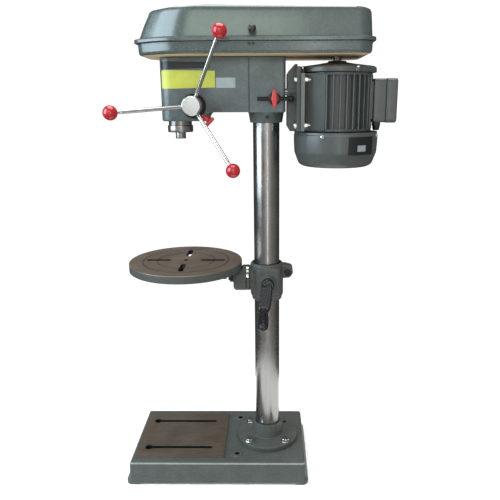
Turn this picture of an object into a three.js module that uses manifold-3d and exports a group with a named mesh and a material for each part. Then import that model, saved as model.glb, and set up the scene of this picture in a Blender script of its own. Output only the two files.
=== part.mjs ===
// Bench drill press: cast base, round column, head with quill feed, belt drive under a
// hinged guard, finned motor on a sliding bracket, and a round tilting, turning table.
// Millimetres, +Z up. The column axis is x = 0, y = 0 and the floor is z = 0 while the
// machine is built; the finished group is then shifted to stand on its own bottom centre.
// -X is the operator's side (spindle), +X the motor's side, -Y the feed handles' side.

import * as THREE from 'three';
import { mergeVertices } from 'three/addons/utils/BufferGeometryUtils.js';
import Module from 'manifold-3d';

const wasm = await Module();
wasm.setup();

// ---------------------------------------------------------------- driving dimensions

const GAP = 0.3; // clearance left between pieces that touch

const BASE = { x0: -361, x1: 100, halfY: 132.5, height: 57, flare: 7.5, lip: 9, top: 15, wall: 13, foot: 34 };
const PAD = { x0: -352, x1: -115, halfY: 107, rise: 4 };
const BASE_SLOT = { y: 65, holeX: -321, endX: -154, width: 10, hole: 20 };
const BASE_BOSS = { x: -80, y: 89, radius: 13, hole: 6, rise: 2 };
const BASE_RIB = { half: 4, low: 16, crossX: -108, hub: 70, hubLow: 26 };

const FLANGE = { radius: 82, thick: 13, collarLow: 40, collarTop: 37.5, top: 109, boltOffset: 49 };
const COLUMN = { radius: 32.5, bore: 28, top: 1040 };

const SPINDLE_X = -209.5;
const HEAD = { front: -248, rear: 46, halfY: 54, bottom: 943, top: 1067.7, deep: 923, stepX: -140 };
const COLLAR = { top: 42.7, bottom: 39, low: 918, screwX: 3, screwZ: 931.5, screw: 5 };
const SEAM = { x0: -41, x1: -37.5, depth: 3 };

const QUILL = { radius: 28, bottom: 896, top: 1035, seat: 20, bore: 14, seatDepth: 16 };
const QUILL_RING = { radius: 30.7, top: 912.7 };
const SPINDLE = { low: 880.5, top: 1146, nose: 12.5, shaft: 10, spline: 9, socket: 7 };
const RACK = { module: 2, teeth: 16, depth: 26.5, backlash: 0.5, addendum: 1.5 };
const FEED = { x: -167, z: 958, radius: 9, hub: 22, hubBack: -76, hubFront: -114 };
const HANDLE = { reach: 167, rootR: 13, rootY: -92, outR: 60, outY: -114, rod: 4.6, ball: 16 };
const HANDLE_ANGLES = [64.5, 184.5, 304.5];
const DIAL = { radius: 28, back: -55, front: -75, lockAngle: -45, lockY: -66, stud: 3 };
const CUP = { radius: 32, bore: 29, back: 84, springY: 60, springWide: 14 };

const TRAY = { x0: -290, x1: 236, halfY: 120, low: 1068, high: 1094, wall: 2.5 };
const LID = { low: 1094.4, rimTop: 1103, rim: 8, top: 1177, wall: 2.5 };
const HINGE = { y: 127, z: 1099, radius: 3, knuckle: 6, lug: 5.5, pin: [-171, 141] };
const KNUCKLES = [[-150, -110], [80, 120]];
const LUGS = [[-168, -152], [-108, -92], [62, 78], [122, 138]];
const KNOB = { x: -28, z: 1117, stem: 4, stemBack: -119.5, back: -127, radius: 8.6 };

const STEP = { first: 1083, pitch: 17, spindle: [65, 58, 51, 44], motor: [24, 31, 38, 45], belted: 1 };
const MOTOR = { x: 169, fin: 86, core: 75, bore: 66, low: 898, high: 1031, bell: 94, cover: 101.5, shaft: 9.5 };
const ROTOR = { low: 838, core: 42, coreLow: 932, coreHigh: 1000 };
const FOOT = { face: 80.3, thick: 8, halfY: 71, boltY: 64, boltZ: [913, 1015] };
const PLATE = { x0: 50, x1: 72, x2: 80, halfY: 73, low: 899, high: 1050, ribY: 49 };
const ROD = { y: 43, z: 989.3, radius: 7, pitchDrop: 5.8 };
const LEVER = { x: 20, z: 973, module: 1.5, teeth: 14 };
const BOX = { x0: 252.3, x1: 281, x2: 308, halfY: 42, low: 918, high: 1018, wall: 3, glandX: 267 };
const FAN = { low: 842, high: 884, hub: 24, tip: 82, blades: 7 };
const FAN_COVER = { floor: 814, hole: 22, round: 30, wall: 2.5 };

const TABLE = { radius: 145, low: 550, high: 570, stem: 18, stemLow: 517, hole: 6.5 };
const TABLE_SLOT = { inner: 38, outer: 102, width: 13 };
const TILT = { z: 523, radius: 33.5, faceX: -53, blockX: -86, bolt: 8, nut: 13 };
const ARM = { hub: 36, hubLow: 516, beamLow: 538, hubHalf: 22, blockHalf: 29, ribX: -104, ribLow: 519 };
const TABLE_LOCK = { z: 531, radius: 4 };
const BRACKET = { radius: 42.5, low: 482, high: 566, liner: 34.4, sleeveLow: 468, split: 1.8 };
const CLAMP = { x: 54, z: 541, shank: 5, lugHalf: 15 };
const CRANK = { x: 3, z: 524, endX: -7, endZ: 470, endY: -118, gripFront: -218, screw: 8 };

const PAINT = 0x4d5754;
const STEEL = 0xb4b4b0;
const MACHINED = 0x77695c;
const BLACK = 0x1c1d1f;
const RED = 0xb5161c;
const DARK = 0x2f3335;
const BRONZE = 0x9a7440;
const ALUMINIUM = 0xa9aaa8;

// ---------------------------------------------------------------- solids from geometry

// A closed three.js geometry as a manifold solid, turned to face out if it faces in.
function solid(geometry) {
  const bare = geometry.clone();
  bare.deleteAttribute('normal');
  bare.deleteAttribute('uv');
  const merged = mergeVertices(bare, 1e-3);
  const points = merged.getAttribute('position').array;
  const source = merged.index.array;
  const kept = [];
  let volume = 0;
  const a = new THREE.Vector3();
  const b = new THREE.Vector3();
  const c = new THREE.Vector3();
  for (let i = 0; i < source.length; i += 3) {
    const [p, q, r] = [source[i], source[i + 1], source[i + 2]];
    if (p === q || q === r || p === r) continue;
    kept.push(p, q, r);
    a.fromArray(points, p * 3);
    b.fromArray(points, q * 3);
    c.fromArray(points, r * 3);
    volume += a.dot(b.cross(c));
  }
  if (volume < 0) kept.reverse();
  const mesh = new wasm.Mesh({
    numProp: 3,
    vertProperties: new Float32Array(points),
    triVerts: new Uint32Array(kept),
  });
  return new wasm.Manifold(mesh);
}

function toGeometry(manifold) {
  const mesh = manifold.getMesh();
  const geometry = new THREE.BufferGeometry();
  geometry.setAttribute('position', new THREE.BufferAttribute(new Float32Array(mesh.vertProperties), 3));
  geometry.setIndex(new THREE.BufferAttribute(new Uint32Array(mesh.triVerts), 1));
  geometry.computeVertexNormals();
  return geometry;
}

const join = (...parts) => parts.reduce((sum, part) => sum.add(part));
const cut = (body, ...tools) => tools.reduce((rest, tool) => rest.subtract(tool), body);

function box(x0, x1, y0, y1, z0, z1) {
  const geometry = new THREE.BoxGeometry(x1 - x0, y1 - y0, z1 - z0);
  geometry.translate((x0 + x1) / 2, (y0 + y1) / 2, (z0 + z1) / 2);
  return solid(geometry);
}

// A cylinder or cone along Z between two heights.
function rod(radius, z0, z1, { x = 0, y = 0, top = radius, sides = 20 } = {}) {
  const geometry = new THREE.CylinderGeometry(top, radius, z1 - z0, sides);
  geometry.rotateX(Math.PI / 2);
  geometry.translate(x, y, (z0 + z1) / 2);
  return solid(geometry);
}

// The same along Y, from y0 to y1, and along X, from x0 to x1.
function rodY(radius, y0, y1, { x = 0, z = 0, end = radius, sides = 20 } = {}) {
  const geometry = new THREE.CylinderGeometry(end, radius, y1 - y0, sides);
  geometry.translate(x, (y0 + y1) / 2, z);
  return solid(geometry);
}

function rodX(radius, x0, x1, { y = 0, z = 0, end = radius, sides = 20 } = {}) {
  const geometry = new THREE.CylinderGeometry(end, radius, x1 - x0, sides);
  geometry.rotateZ(-Math.PI / 2);
  geometry.translate((x0 + x1) / 2, y, z);
  return solid(geometry);
}

// A cylinder between any two points.
function rodBetween(from, to, radius, sides = 12) {
  const along = new THREE.Vector3().subVectors(to, from);
  const geometry = new THREE.CylinderGeometry(radius, radius, along.length(), sides);
  const turn = new THREE.Quaternion().setFromUnitVectors(new THREE.Vector3(0, 1, 0), along.clone().normalize());
  geometry.applyQuaternion(turn);
  geometry.translate((from.x + to.x) / 2, (from.y + to.y) / 2, (from.z + to.z) / 2);
  return solid(geometry);
}

// A profile of [radius, height] pairs turned about a vertical axis; it closes on itself.
function turned(profile, { x = 0, y = 0, sides = 24 } = {}) {
  const points = [...profile, profile[0]].map(([r, z]) => new THREE.Vector2(r, z));
  const geometry = new THREE.LatheGeometry(points, sides);
  geometry.rotateX(Math.PI / 2);
  geometry.translate(x, y, 0);
  return solid(geometry);
}

const ring = (inner, outer, z0, z1, place) =>
  turned([[inner, z0], [outer, z0], [outer, z1], [inner, z1]], place);

// An outline in plan raised from z0 to z1.
function raised(shape, z0, z1, curveSegments = 3) {
  const geometry = new THREE.ExtrudeGeometry(shape, { depth: z1 - z0, bevelEnabled: false, curveSegments });
  geometry.translate(0, 0, z0);
  return solid(geometry);
}

// An outline in the XZ plane, drawn out along Y from y0 to y1.
function drawnY(shape, y0, y1, curveSegments = 3) {
  const geometry = new THREE.ExtrudeGeometry(shape, { depth: y1 - y0, bevelEnabled: false, curveSegments });
  geometry.rotateX(Math.PI / 2);
  geometry.translate(0, y1, 0);
  return solid(geometry);
}

// An outline given as (y, z), drawn out along X from x0 to x1.
function drawnX(shape, x0, x1, curveSegments = 2) {
  const geometry = new THREE.ExtrudeGeometry(shape, { depth: x1 - x0, bevelEnabled: false, curveSegments });
  geometry.rotateX(Math.PI / 2);
  geometry.rotateZ(Math.PI / 2);
  geometry.translate(x0, 0, 0);
  return solid(geometry);
}

const polygon = (points) => new THREE.Shape(points.map(([x, y]) => new THREE.Vector2(x, y)));

// A rectangle with rounded corners: radii at the low-x and at the high-x corners.
function roundedRect(x0, x1, y0, y1, low, high = low) {
  const shape = new THREE.Shape();
  shape.moveTo(x0 + low, y0);
  shape.lineTo(x1 - high, y0);
  shape.absarc(x1 - high, y0 + high, high, -Math.PI / 2, 0);
  shape.lineTo(x1, y1 - high);
  shape.absarc(x1 - high, y1 - high, high, 0, Math.PI / 2);
  shape.lineTo(x0 + low, y1);
  shape.absarc(x0 + low, y1 - low, low, Math.PI / 2, Math.PI);
  shape.lineTo(x0, y0 + low);
  shape.absarc(x0 + low, y0 + low, low, Math.PI, 1.5 * Math.PI);
  return shape;
}

// A straight slot with round ends, as a plan outline.
function slotShape(x0, x1, y, width) {
  return roundedRect(x0 - width / 2, x1 + width / 2, y - width / 2, y + width / 2, width / 2 - 0.01);
}

// ---------------------------------------------------------------- gears and fasteners

// Outline of an involute gear about the origin, with the middle of a tooth gap at angle gapAt.
function gearShape(module, teeth, backlash, addendum, gapAt) {
  const pitch = (module * teeth) / 2;
  const base = pitch * Math.cos(THREE.MathUtils.degToRad(20));
  const outer = pitch + addendum;
  const root = pitch - addendum - 0.35 * module;
  const involute = (r) => {
    const angle = Math.acos(Math.min(1, base / r));
    return Math.tan(angle) - angle;
  };
  const halfAtPitch = (Math.PI * module / 2 - backlash / 2) / (2 * pitch);
  const half = (r) => halfAtPitch + involute(pitch) - involute(Math.max(r, base));
  const radii = [root, pitch, outer];
  const points = [];
  for (let tooth = 0; tooth < teeth; tooth += 1) {
    const middle = gapAt + (2 * Math.PI * (tooth + 0.5)) / teeth;
    for (const r of radii) points.push([r * Math.cos(middle - half(r)), r * Math.sin(middle - half(r))]);
    for (const r of [...radii].reverse()) {
      points.push([r * Math.cos(middle + half(r)), r * Math.sin(middle + half(r))]);
    }
  }
  return polygon(points);
}

// The gaps of a straight rack as (along, depth) outlines: depth is measured out of the bar from
// its pitch line, and a tooth stands at along = 0.
function rackGaps(module, backlash, addendum, first, last) {
  const pitch = Math.PI * module;
  const slope = Math.tan(THREE.MathUtils.degToRad(20));
  const halfTooth = (pitch / 2 - backlash / 2) / 2;
  const root = addendum + 0.35 * module;
  const gaps = [];
  for (let k = first; k < last; k += 1) {
    const left = k * pitch + halfTooth;
    const right = (k + 1) * pitch - halfTooth;
    const over = addendum + 1;
    gaps.push([[left - slope * over, over], [left + slope * root, -root],
      [right - slope * root, -root], [right + slope * over, over]]);
  }
  return gaps;
}

// A hexagon-headed bolt along Z with a washer under its head, standing on z = 0.
function hexBolt(across, headHeight, shank, length, washer) {
  const head = rod(across / Math.sqrt(3), 1.8, 1.8 + headHeight, { sides: 6 });
  return join(head, rod(washer, 0, 2, { sides: 20 }), rod(shank, -length, 1, { sides: 12 }));
}

// ---------------------------------------------------------------- scene

const machine = new THREE.Group();

function add(name, manifold, color, roughness, metalness, parent = machine) {
  const material = new THREE.MeshStandardMaterial({ color, roughness, metalness });
  const mesh = new THREE.Mesh(toGeometry(manifold), material);
  mesh.name = name;
  parent.add(mesh);
  return mesh;
}

const painted = (name, manifold, color = PAINT) => add(name, manifold, color, 0.45, 0.3);
const steel = (name, manifold) => add(name, manifold, STEEL, 0.3, 0.9);
const dark = (name, manifold) => add(name, manifold, BLACK, 0.5, 0.1);
const red = (name, manifold) => add(name, manifold, RED, 0.25, 0);

// ---------------------------------------------------------------- base and column

function baseCasting() {
  const { x0, x1, halfY, height, flare, lip, top, wall, foot } = BASE;
  const outline = (grow) => roundedRect(x0 - grow, x1 + grow, -halfY - grow, halfY + grow, 8 + grow);
  const skirt = raised(outline(flare), 0, lip, 1);
  const sides = raised(outline(flare - 2), lip - 0.5, height - 6, 1);
  const shoulder = raised(outline(0), height - 7, height - 3, 1);
  const crown = raised(outline(-4), height - 4, height, 1);
  const pad = raised(roundedRect(PAD.x0, PAD.x1, -PAD.halfY, PAD.halfY, 4), height - 1, height + PAD.rise, 1);
  const inside = raised(roundedRect(x0 + wall, x1 - wall, -halfY + wall, halfY - wall, 6), -1, height - top, 1);
  const shell = cut(join(skirt, sides, shoulder, crown, pad), inside);
  const { half, low, crossX, hub, hubLow } = BASE_RIB;
  const ribs = [
    box(x0 + 4, x1 - 4, -half, half, low, height - 4),
    box(crossX - half, crossX + half, -halfY + 4, halfY - 4, low, height - 4),
    rod(hub, hubLow, height - 4),
  ];
  const bosses = [-1, 1].map((side) =>
    rod(BASE_BOSS.radius, 20, height + BASE_BOSS.rise, { x: BASE_BOSS.x, y: side * BASE_BOSS.y }));
  const tools = [];
  for (const side of [-1, 1]) {
    const y = side * BASE_SLOT.y;
    tools.push(raised(slotShape(BASE_SLOT.holeX, BASE_SLOT.endX, y, BASE_SLOT.width), 5, height + 10, 1));
    tools.push(rod(BASE_SLOT.hole / 2, 5, height + 10, { x: BASE_SLOT.holeX, y, sides: 16 }));
    tools.push(rod(BASE_BOSS.hole, 5, height + 10, { x: BASE_BOSS.x, y: side * BASE_BOSS.y, sides: 12 }));
    for (const end of [-1, 1]) {
      const place = { x: end * FLANGE.boltOffset, y: side * FLANGE.boltOffset, sides: 12 };
      tools.push(rod(6 + GAP, 5, height + 10, place));
    }
  }
  // the skirt is cut away between the corner feet
  tools.push(box(x0 + foot, x1 - foot, -halfY - 20, halfY + 20, -1, 4));
  tools.push(box(x0 - 20, x1 + 20, -halfY + foot, halfY - foot, -1, 4));
  return cut(join(shell, ...ribs, ...bosses), ...tools);
}

function columnFlange() {
  const { radius, thick, collarLow, collarTop, top, boltOffset } = FLANGE;
  const low = BASE.height + GAP;
  const rim = BASE.height + thick;
  const bore = COLUMN.radius + GAP;
  const profile = [[bore, low], [radius - 1, low], [radius, low + 2], [radius, rim - 2], [radius - 2, rim],
    [collarLow + 5, rim], [collarLow, rim + 6], [collarTop, top - 1.5], [collarTop - 1.5, top], [bore, top]];
  const holes = [];
  for (const x of [-boltOffset, boltOffset]) {
    for (const y of [-boltOffset, boltOffset]) holes.push(rod(6 + GAP, low - 1, rim + 8, { x, y, sides: 12 }));
  }
  return cut(turned(profile), ...holes);
}

painted('base_casting', baseCasting());
painted('column_flange', columnFlange());
steel('column', ring(COLUMN.bore, COLUMN.radius, BASE.height + 2 * GAP, COLUMN.top));

// three of the four flange holes carry bolts
const boltCorners = [[-1, -1], [1, -1], [-1, 1]];
boltCorners.forEach(([i, j], index) => {
  const bolt = steel(`flange_bolt_${index + 1}`, hexBolt(18, 7.5, 6, 32, 11.5));
  bolt.position.set(i * FLANGE.boltOffset, j * FLANGE.boltOffset, BASE.height + FLANGE.thick + GAP);
});

// ---------------------------------------------------------------- head casting

function headCasting() {
  const { front, rear, halfY, bottom, top, deep, stepX } = HEAD;
  const plan = raised(roundedRect(front, rear, -halfY, halfY, 32, 8), deep, top, 4);
  const side = new THREE.Shape();
  side.moveTo(front - 1, deep);
  side.lineTo(stepX - 10, deep);
  side.absarc(stepX - 10, bottom - 8, 10 + 2, -Math.PI / 2, 0);
  side.lineTo(stepX + 2, bottom - 4);
  side.lineTo(stepX + 8, bottom);
  side.lineTo(rear + 1, bottom);
  side.lineTo(rear + 1, top + 1);
  side.lineTo(front - 1, top + 1);
  const body = plan.intersect(drawnY(side, -halfY - 1, halfY + 1, 3));
  const collar = rod(COLLAR.bottom, COLLAR.low, bottom + 1, { top: COLLAR.top, sides: 24 });
  const dialBoss = rodY(20, -halfY - 0.6, -halfY + 5, { x: FEED.x, z: FEED.z });
  const tools = [
    rod(COLUMN.radius + GAP, COLLAR.low - 1, COLUMN.top + 4, { sides: 24 }),
    rod(QUILL.radius + GAP, deep - 1, top + 1, { x: SPINDLE_X, sides: 24 }),
    rodY(FEED.radius + GAP, -halfY - 2, halfY + 1, { x: FEED.x, z: FEED.z }),
    rodY(18.6, -14, halfY + 1, { x: FEED.x, z: FEED.z }),
    box(stepX + 6, -45, -halfY + 10, halfY - 10, bottom + 12, top + 1),
    rodY(COLLAR.screw, -60, -30, { x: COLLAR.screwX, z: COLLAR.screwZ, sides: 12 }),
  ];
  // bores for the motor's slide rods, and the pocket of the tension lever's pinion
  for (const s of [-1, 1]) {
    tools.push(rodX(ROD.radius + GAP, -36, rear + 1, { y: s * ROD.y, z: ROD.z, sides: 20 }));
  }
  tools.push(rodY(12.4, -halfY - 1, -37.5, { x: LEVER.x, z: LEVER.z, sides: 20 }));
  // seam grooves down both sides
  for (const s of [-1, 1]) {
    const y = s * halfY;
    tools.push(box(SEAM.x0, SEAM.x1, y - SEAM.depth, y + SEAM.depth, bottom - 1, top + 1));
  }
  return cut(join(body, collar, dialBoss), ...tools);
}

painted('head_casting', headCasting());

// ---------------------------------------------------------------- belt guard

// Plan of the guard: a chamfered front end and a rounded rear end, grown by an offset.
function guardPlan(grow) {
  const x0 = TRAY.x0 - grow;
  const x1 = TRAY.x1 + grow;
  const half = TRAY.halfY + grow;
  const nose = 68 + grow * 0.6;
  const cheek = -214 - grow * 0.4;
  const round = 34 + grow;
  const shape = new THREE.Shape();
  shape.moveTo(cheek, -half);
  shape.lineTo(x1 - round, -half);
  shape.absarc(x1 - round, -half + round, round, -Math.PI / 2, 0);
  shape.lineTo(x1, half - round);
  shape.absarc(x1 - round, half - round, round, 0, Math.PI / 2);
  shape.lineTo(cheek, half);
  shape.lineTo(x0 + 6, nose + 3);
  shape.quadraticCurveTo(x0, nose, x0, nose - 8);
  shape.lineTo(x0, -nose + 8);
  shape.quadraticCurveTo(x0, -nose, x0 + 6, -nose - 3);
  shape.closePath();
  return shape;
}

// Cylinders on the hinge line: knuckles, lugs, the pin, and the hole for it.
const hingeRod = (radius, x0, x1) => rodX(radius, x0, x1, { y: HINGE.y, z: HINGE.z, sides: 12 });
const pinHole = () => hingeRod(HINGE.radius + GAP, -200, 200);

function guardTray() {
  const { low, high, wall } = TRAY;
  const floor = raised(guardPlan(-4), low, low + 4, 3);
  const body = join(raised(guardPlan(0), low + 2, high, 3), floor);
  const inside = raised(guardPlan(-wall), low + 4, high + 1, 3);
  const holes = [
    rod(32, low - 1, low + 8, { x: SPINDLE_X, sides: 24 }),
    raised(slotShape(130, 205, 0, 34), low - 1, low + 8, 3),
  ];
  const knuckles = KNUCKLES.map(([x0, x1]) => hingeRod(HINGE.knuckle, x0, x1));
  const leaves = KNUCKLES.map(([x0, x1]) => box(x0, x1, TRAY.halfY - 2, HINGE.y + 4, HINGE.z - 16, HINGE.z));
  return cut(join(cut(body, inside, ...holes), ...knuckles, ...leaves), pinHole());
}

// Side outline of the lid (x, z): raked front end, crowned top.
function lidSide(shrink) {
  const top = LID.top - shrink;
  const shape = new THREE.Shape();
  shape.moveTo(TRAY.x0 - 20, LID.low - 5);
  shape.lineTo(TRAY.x1 + 20, LID.low - 5);
  shape.lineTo(TRAY.x1 + 20, LID.rimTop - shrink);
  shape.lineTo(TRAY.x1 + 1 - shrink, LID.rimTop - shrink);
  shape.lineTo(TRAY.x1 - 5 - shrink, top - 12);
  shape.quadraticCurveTo(TRAY.x1 - 7 - shrink, top - 6, TRAY.x1 - 14 - shrink, top - 5);
  shape.quadraticCurveTo(-60, top + 5, -262 + shrink, top - 7);
  shape.lineTo(TRAY.x0 + 4 + shrink, LID.rimTop + 6 - shrink);
  shape.lineTo(TRAY.x0 + 1 + shrink, LID.rimTop - shrink);
  shape.lineTo(TRAY.x0 - 20, LID.rimTop - shrink);
  return shape;
}

// End outline of the lid (y, z): walls leaning in, sloping shoulders, flat top.
function lidEnd(shrink) {
  const half = TRAY.halfY - shrink;
  const top = LID.top + 10 - shrink;
  return polygon([
    [-half - 20, LID.low - 5], [half + 20, LID.low - 5], [half + 20, LID.rimTop - shrink],
    [half + 1, LID.rimTop - shrink], [half - 8, LID.top - 26 - shrink], [half - 44, LID.top - 3 - shrink],
    [half - 60, top], [-half + 60, top],
    [-half + 44, LID.top - 3 - shrink], [-half + 8, LID.top - 26 - shrink],
    [-half - 1, LID.rimTop - shrink], [-half - 20, LID.rimTop - shrink],
  ]);
}

function guardLid() {
  const block = (grow, shrink, low) => raised(guardPlan(grow), low, LID.top + 20, 3)
    .intersect(drawnY(lidSide(shrink), -200, 200, 4))
    .intersect(drawnX(lidEnd(shrink), -400, 400, 1));
  const outer = block(LID.rim, 0, LID.low);
  const inner = block(-LID.wall, LID.wall, LID.low - 6);
  const notches = KNUCKLES.map(([x0, x1]) =>
    box(x0 - 2, x1 + 2, TRAY.halfY - 3, HINGE.y + 20, LID.low - 1, HINGE.z + 8));
  const lugs = LUGS.map(([x0, x1]) => hingeRod(HINGE.lug, x0, x1));
  return cut(join(cut(outer, inner, ...notches), ...lugs), pinHole());
}

painted('guard_tray', guardTray());
painted('guard_lid', guardLid());
steel('lid_hinge_pin', hingeRod(HINGE.radius, ...HINGE.pin));

function lidKnob() {
  const { x, z, radius, back } = KNOB;
  const stem = rodY(KNOB.stem, back - 1, KNOB.stemBack, { x, z, sides: 12 });
  const profile = [[0, 0], [5, 0], [radius, 5], [radius, 11], [5.5, 14.5], [0, 15.5]];
  const geometry = new THREE.LatheGeometry(profile.map(([r, h]) => new THREE.Vector2(r, -h)), 20);
  geometry.translate(x, back, z);
  return join(stem, solid(geometry));
}

dark('lid_knob', lidKnob());

// ---------------------------------------------------------------- quill, spindle and pulleys

function quillBody() {
  const place = { x: SPINDLE_X, sides: 24 };
  const { radius, bottom, top, seat, bore, seatDepth } = QUILL;
  const tube = turned([[seat, bottom], [radius, bottom], [radius, top], [seat, top], [seat, top - seatDepth],
    [bore, top - seatDepth], [bore, bottom + seatDepth], [seat, bottom + seatDepth]], place);
  const tools = rackGaps(RACK.module, RACK.backlash, RACK.addendum, -2, 12).map((gap) => {
    const outline = gap.map(([along, depth]) => [SPINDLE_X + RACK.depth + depth, FEED.z + along]);
    return drawnY(polygon(outline), -20, 20);
  });
  return cut(tube, ...tools);
}

function spindleShaft() {
  const { low, top, nose, shaft, spline, socket } = SPINDLE;
  const place = { x: SPINDLE_X, sides: 20 };
  return join(
    rod(nose, low, QUILL.bottom - 1, place),
    rod(nose - GAP, QUILL.bottom - 1.5, QUILL.bottom + 1, place),
    rod(shaft, QUILL.bottom, QUILL.top + 1, place),
    rod(spline, QUILL.top, top, place),
  ).subtract(rod(socket, low - 0.5, low + 34.5, { ...place, top: socket - 1.5 }));
}

function conePulley(radii, bore, x) {
  const { first, pitch } = STEP;
  const points = [[bore, first]];
  radii.forEach((radius, i) => {
    const z = first + i * pitch;
    points.push([radius, z], [radius - 9, z + 6], [radius - 9, z + 11], [radius, z + pitch]);
  });
  points.push([bore, first + pitch * radii.length]);
  return turned(points, { x, sides: 20 });
}

steel('quill', quillBody());
steel('quill_collar', ring(QUILL.radius + GAP, QUILL_RING.radius, QUILL.bottom + GAP, QUILL_RING.top,
  { x: SPINDLE_X }));
for (const [name, z] of [['lower', QUILL.bottom + 1.5], ['upper', QUILL.top - 15.7]]) {
  steel(`quill_bearing_${name}`, ring(SPINDLE.shaft + GAP, QUILL.seat - GAP, z, z + 14.2, { x: SPINDLE_X }));
}
steel('spindle', spindleShaft());

const pulleyBore = SPINDLE.spline + 0.4;
const sleeve = ring(pulleyBore, 17, 1040, STEP.first + 1, { x: SPINDLE_X });
const spindleCone = join(conePulley(STEP.spindle, pulleyBore, SPINDLE_X), sleeve);
add('spindle_pulley', spindleCone, ALUMINIUM, 0.35, 0.8);
steel('pulley_bearing', ring(17.3, QUILL.radius, 1044, 1062, { x: SPINDLE_X }));

// The V-belt runs round both cones on one step: an outer loop less an inner loop.
function beltLoop(inset) {
  const a = STEP.spindle[STEP.belted] - inset;
  const b = STEP.motor[STEP.belted] - inset;
  const span = MOTOR.x - SPINDLE_X;
  const lean = Math.asin((b - a) / span);
  const shape = new THREE.Shape();
  shape.absarc(SPINDLE_X, 0, a, Math.PI / 2 + lean, 1.5 * Math.PI - lean);
  shape.absarc(MOTOR.x, 0, b, -Math.PI / 2 - lean, Math.PI / 2 + lean);
  return shape;
}

const beltLow = STEP.first + STEP.belted * STEP.pitch + 6.4;
dark('v_belt', cut(raised(beltLoop(1.2), beltLow, beltLow + 4.4, 8),
  raised(beltLoop(8.4), beltLow - 1, beltLow + 6, 8)));

// ---------------------------------------------------------------- feed

function feedShaft() {
  const gear = drawnY(gearShape(RACK.module, RACK.teeth, RACK.backlash, RACK.addendum, Math.PI), -9, 9);
  return join(rodY(FEED.radius, FEED.hubFront + 8, 78), gear);
}

function handlePoint(angle, radius, y) {
  const a = THREE.MathUtils.degToRad(angle);
  return new THREE.Vector3(radius * Math.cos(a), y, radius * Math.sin(a));
}

// Where a handle's rod starts inside the hub, and a point further out on its axis.
const rodRoot = (angle) => handlePoint(angle, HANDLE.rootR, HANDLE.rootY);
const rodOut = (angle) => handlePoint(angle, HANDLE.outR, HANDLE.outY);

function feedHub() {
  const body = join(rodY(FEED.hub, FEED.hubFront + 2, FEED.hubBack),
    rodY(FEED.hub - 2, FEED.hubFront, FEED.hubFront + 3, { end: FEED.hub }));
  const sockets = HANDLE_ANGLES.map((angle) => rodBetween(rodRoot(angle), rodOut(angle), HANDLE.rod + GAP));
  const bore = rodY(FEED.radius + GAP, FEED.hubFront + 7, FEED.hubBack + 1);
  return cut(body, bore, ...sockets);
}

const feed = new THREE.Group();
feed.position.set(FEED.x, 0, FEED.z);
machine.add(feed);

add('feed_shaft', feedShaft(), STEEL, 0.3, 0.9, feed);
add('feed_hub', feedHub(), 0xc2c4c4, 0.3, 0.85, feed);
HANDLE_ANGLES.forEach((angle, i) => {
  const axis = new THREE.Vector3().subVectors(rodOut(angle), rodRoot(angle)).normalize();
  const root = rodRoot(angle).addScaledVector(axis, 1);
  const centre = root.clone().addScaledVector(axis, (HANDLE.reach - HANDLE.rootR) / Math.hypot(axis.x, axis.z));
  const back = (distance) => centre.clone().addScaledVector(axis, -distance);
  add(`feed_rod_${i + 1}`, rodBetween(root, back(3), HANDLE.rod), STEEL, 0.2, 1, feed);
  const sphere = new THREE.SphereGeometry(HANDLE.ball, 16, 10);
  sphere.translate(centre.x, centre.y, centre.z);
  const socket = rodBetween(back(30), back(2.5), HANDLE.rod + GAP);
  add(`feed_ball_${i + 1}`, cut(solid(sphere), socket), RED, 0.2, 0, feed);
});

// Depth-stop ring behind the hub, with a radial lock screw and its red T-knob.
const lockPoint = (radius) => handlePoint(DIAL.lockAngle, radius, DIAL.lockY);

function depthRing() {
  const { radius, front, back, stud } = DIAL;
  const body = join(rodY(radius, front + 4, back), rodY(radius - 4, front, front + 5, { end: radius }));
  const bore = rodY(FEED.radius + GAP, front - 1, back + 1);
  return cut(body, bore, rodBetween(lockPoint(16), lockPoint(40), stud + GAP));
}

function depthLockKnob() {
  const bar = new THREE.BoxGeometry(28, 9, 10);
  bar.rotateY(THREE.MathUtils.degToRad(DIAL.lockAngle));
  const place = lockPoint(38 * Math.SQRT2);
  bar.translate(place.x, place.y, place.z);
  const stud = rodBetween(lockPoint(17), lockPoint(50), DIAL.stud);
  return join(stud, solid(bar), rodBetween(lockPoint(33), lockPoint(50), 6));
}

add('depth_stop_ring', depthRing(), DARK, 0.4, 0.6, feed);
add('depth_lock_knob', depthLockKnob(), RED, 0.3, 0, feed);

// Return spring in its cup on the far side.
function springShape() {
  const turns = 3;
  const count = 42;
  const first = 11.5;
  const growth = 15;
  const outer = [];
  const inner = [];
  for (let i = 0; i <= count; i += 1) {
    const angle = (i / count) * turns * 2 * Math.PI;
    const radius = first + (i / count) * growth;
    outer.push([(radius + 1) * Math.cos(angle), (radius + 1) * Math.sin(angle)]);
    inner.push([radius * Math.cos(angle), radius * Math.sin(angle)]);
  }
  return polygon([...outer, ...inner.reverse()]);
}

function springCup() {
  const { radius, bore, back } = CUP;
  const side = rodY(radius, HEAD.halfY + GAP, back - 4);
  const body = join(side, rodY(radius, back - 4.5, back, { end: radius - 6 }));
  return cut(body, rodY(bore, HEAD.halfY, back - 6), rodY(FEED.radius + 1, 60, 90));
}

const springEnd = CUP.springY + CUP.springWide;
add('return_spring', drawnY(springShape(), CUP.springY, springEnd), DARK, 0.35, 0.9, feed);
add('spring_housing', springCup(), DARK, 0.45, 0.5, feed);

// ---------------------------------------------------------------- motor on its sliding bracket

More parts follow.
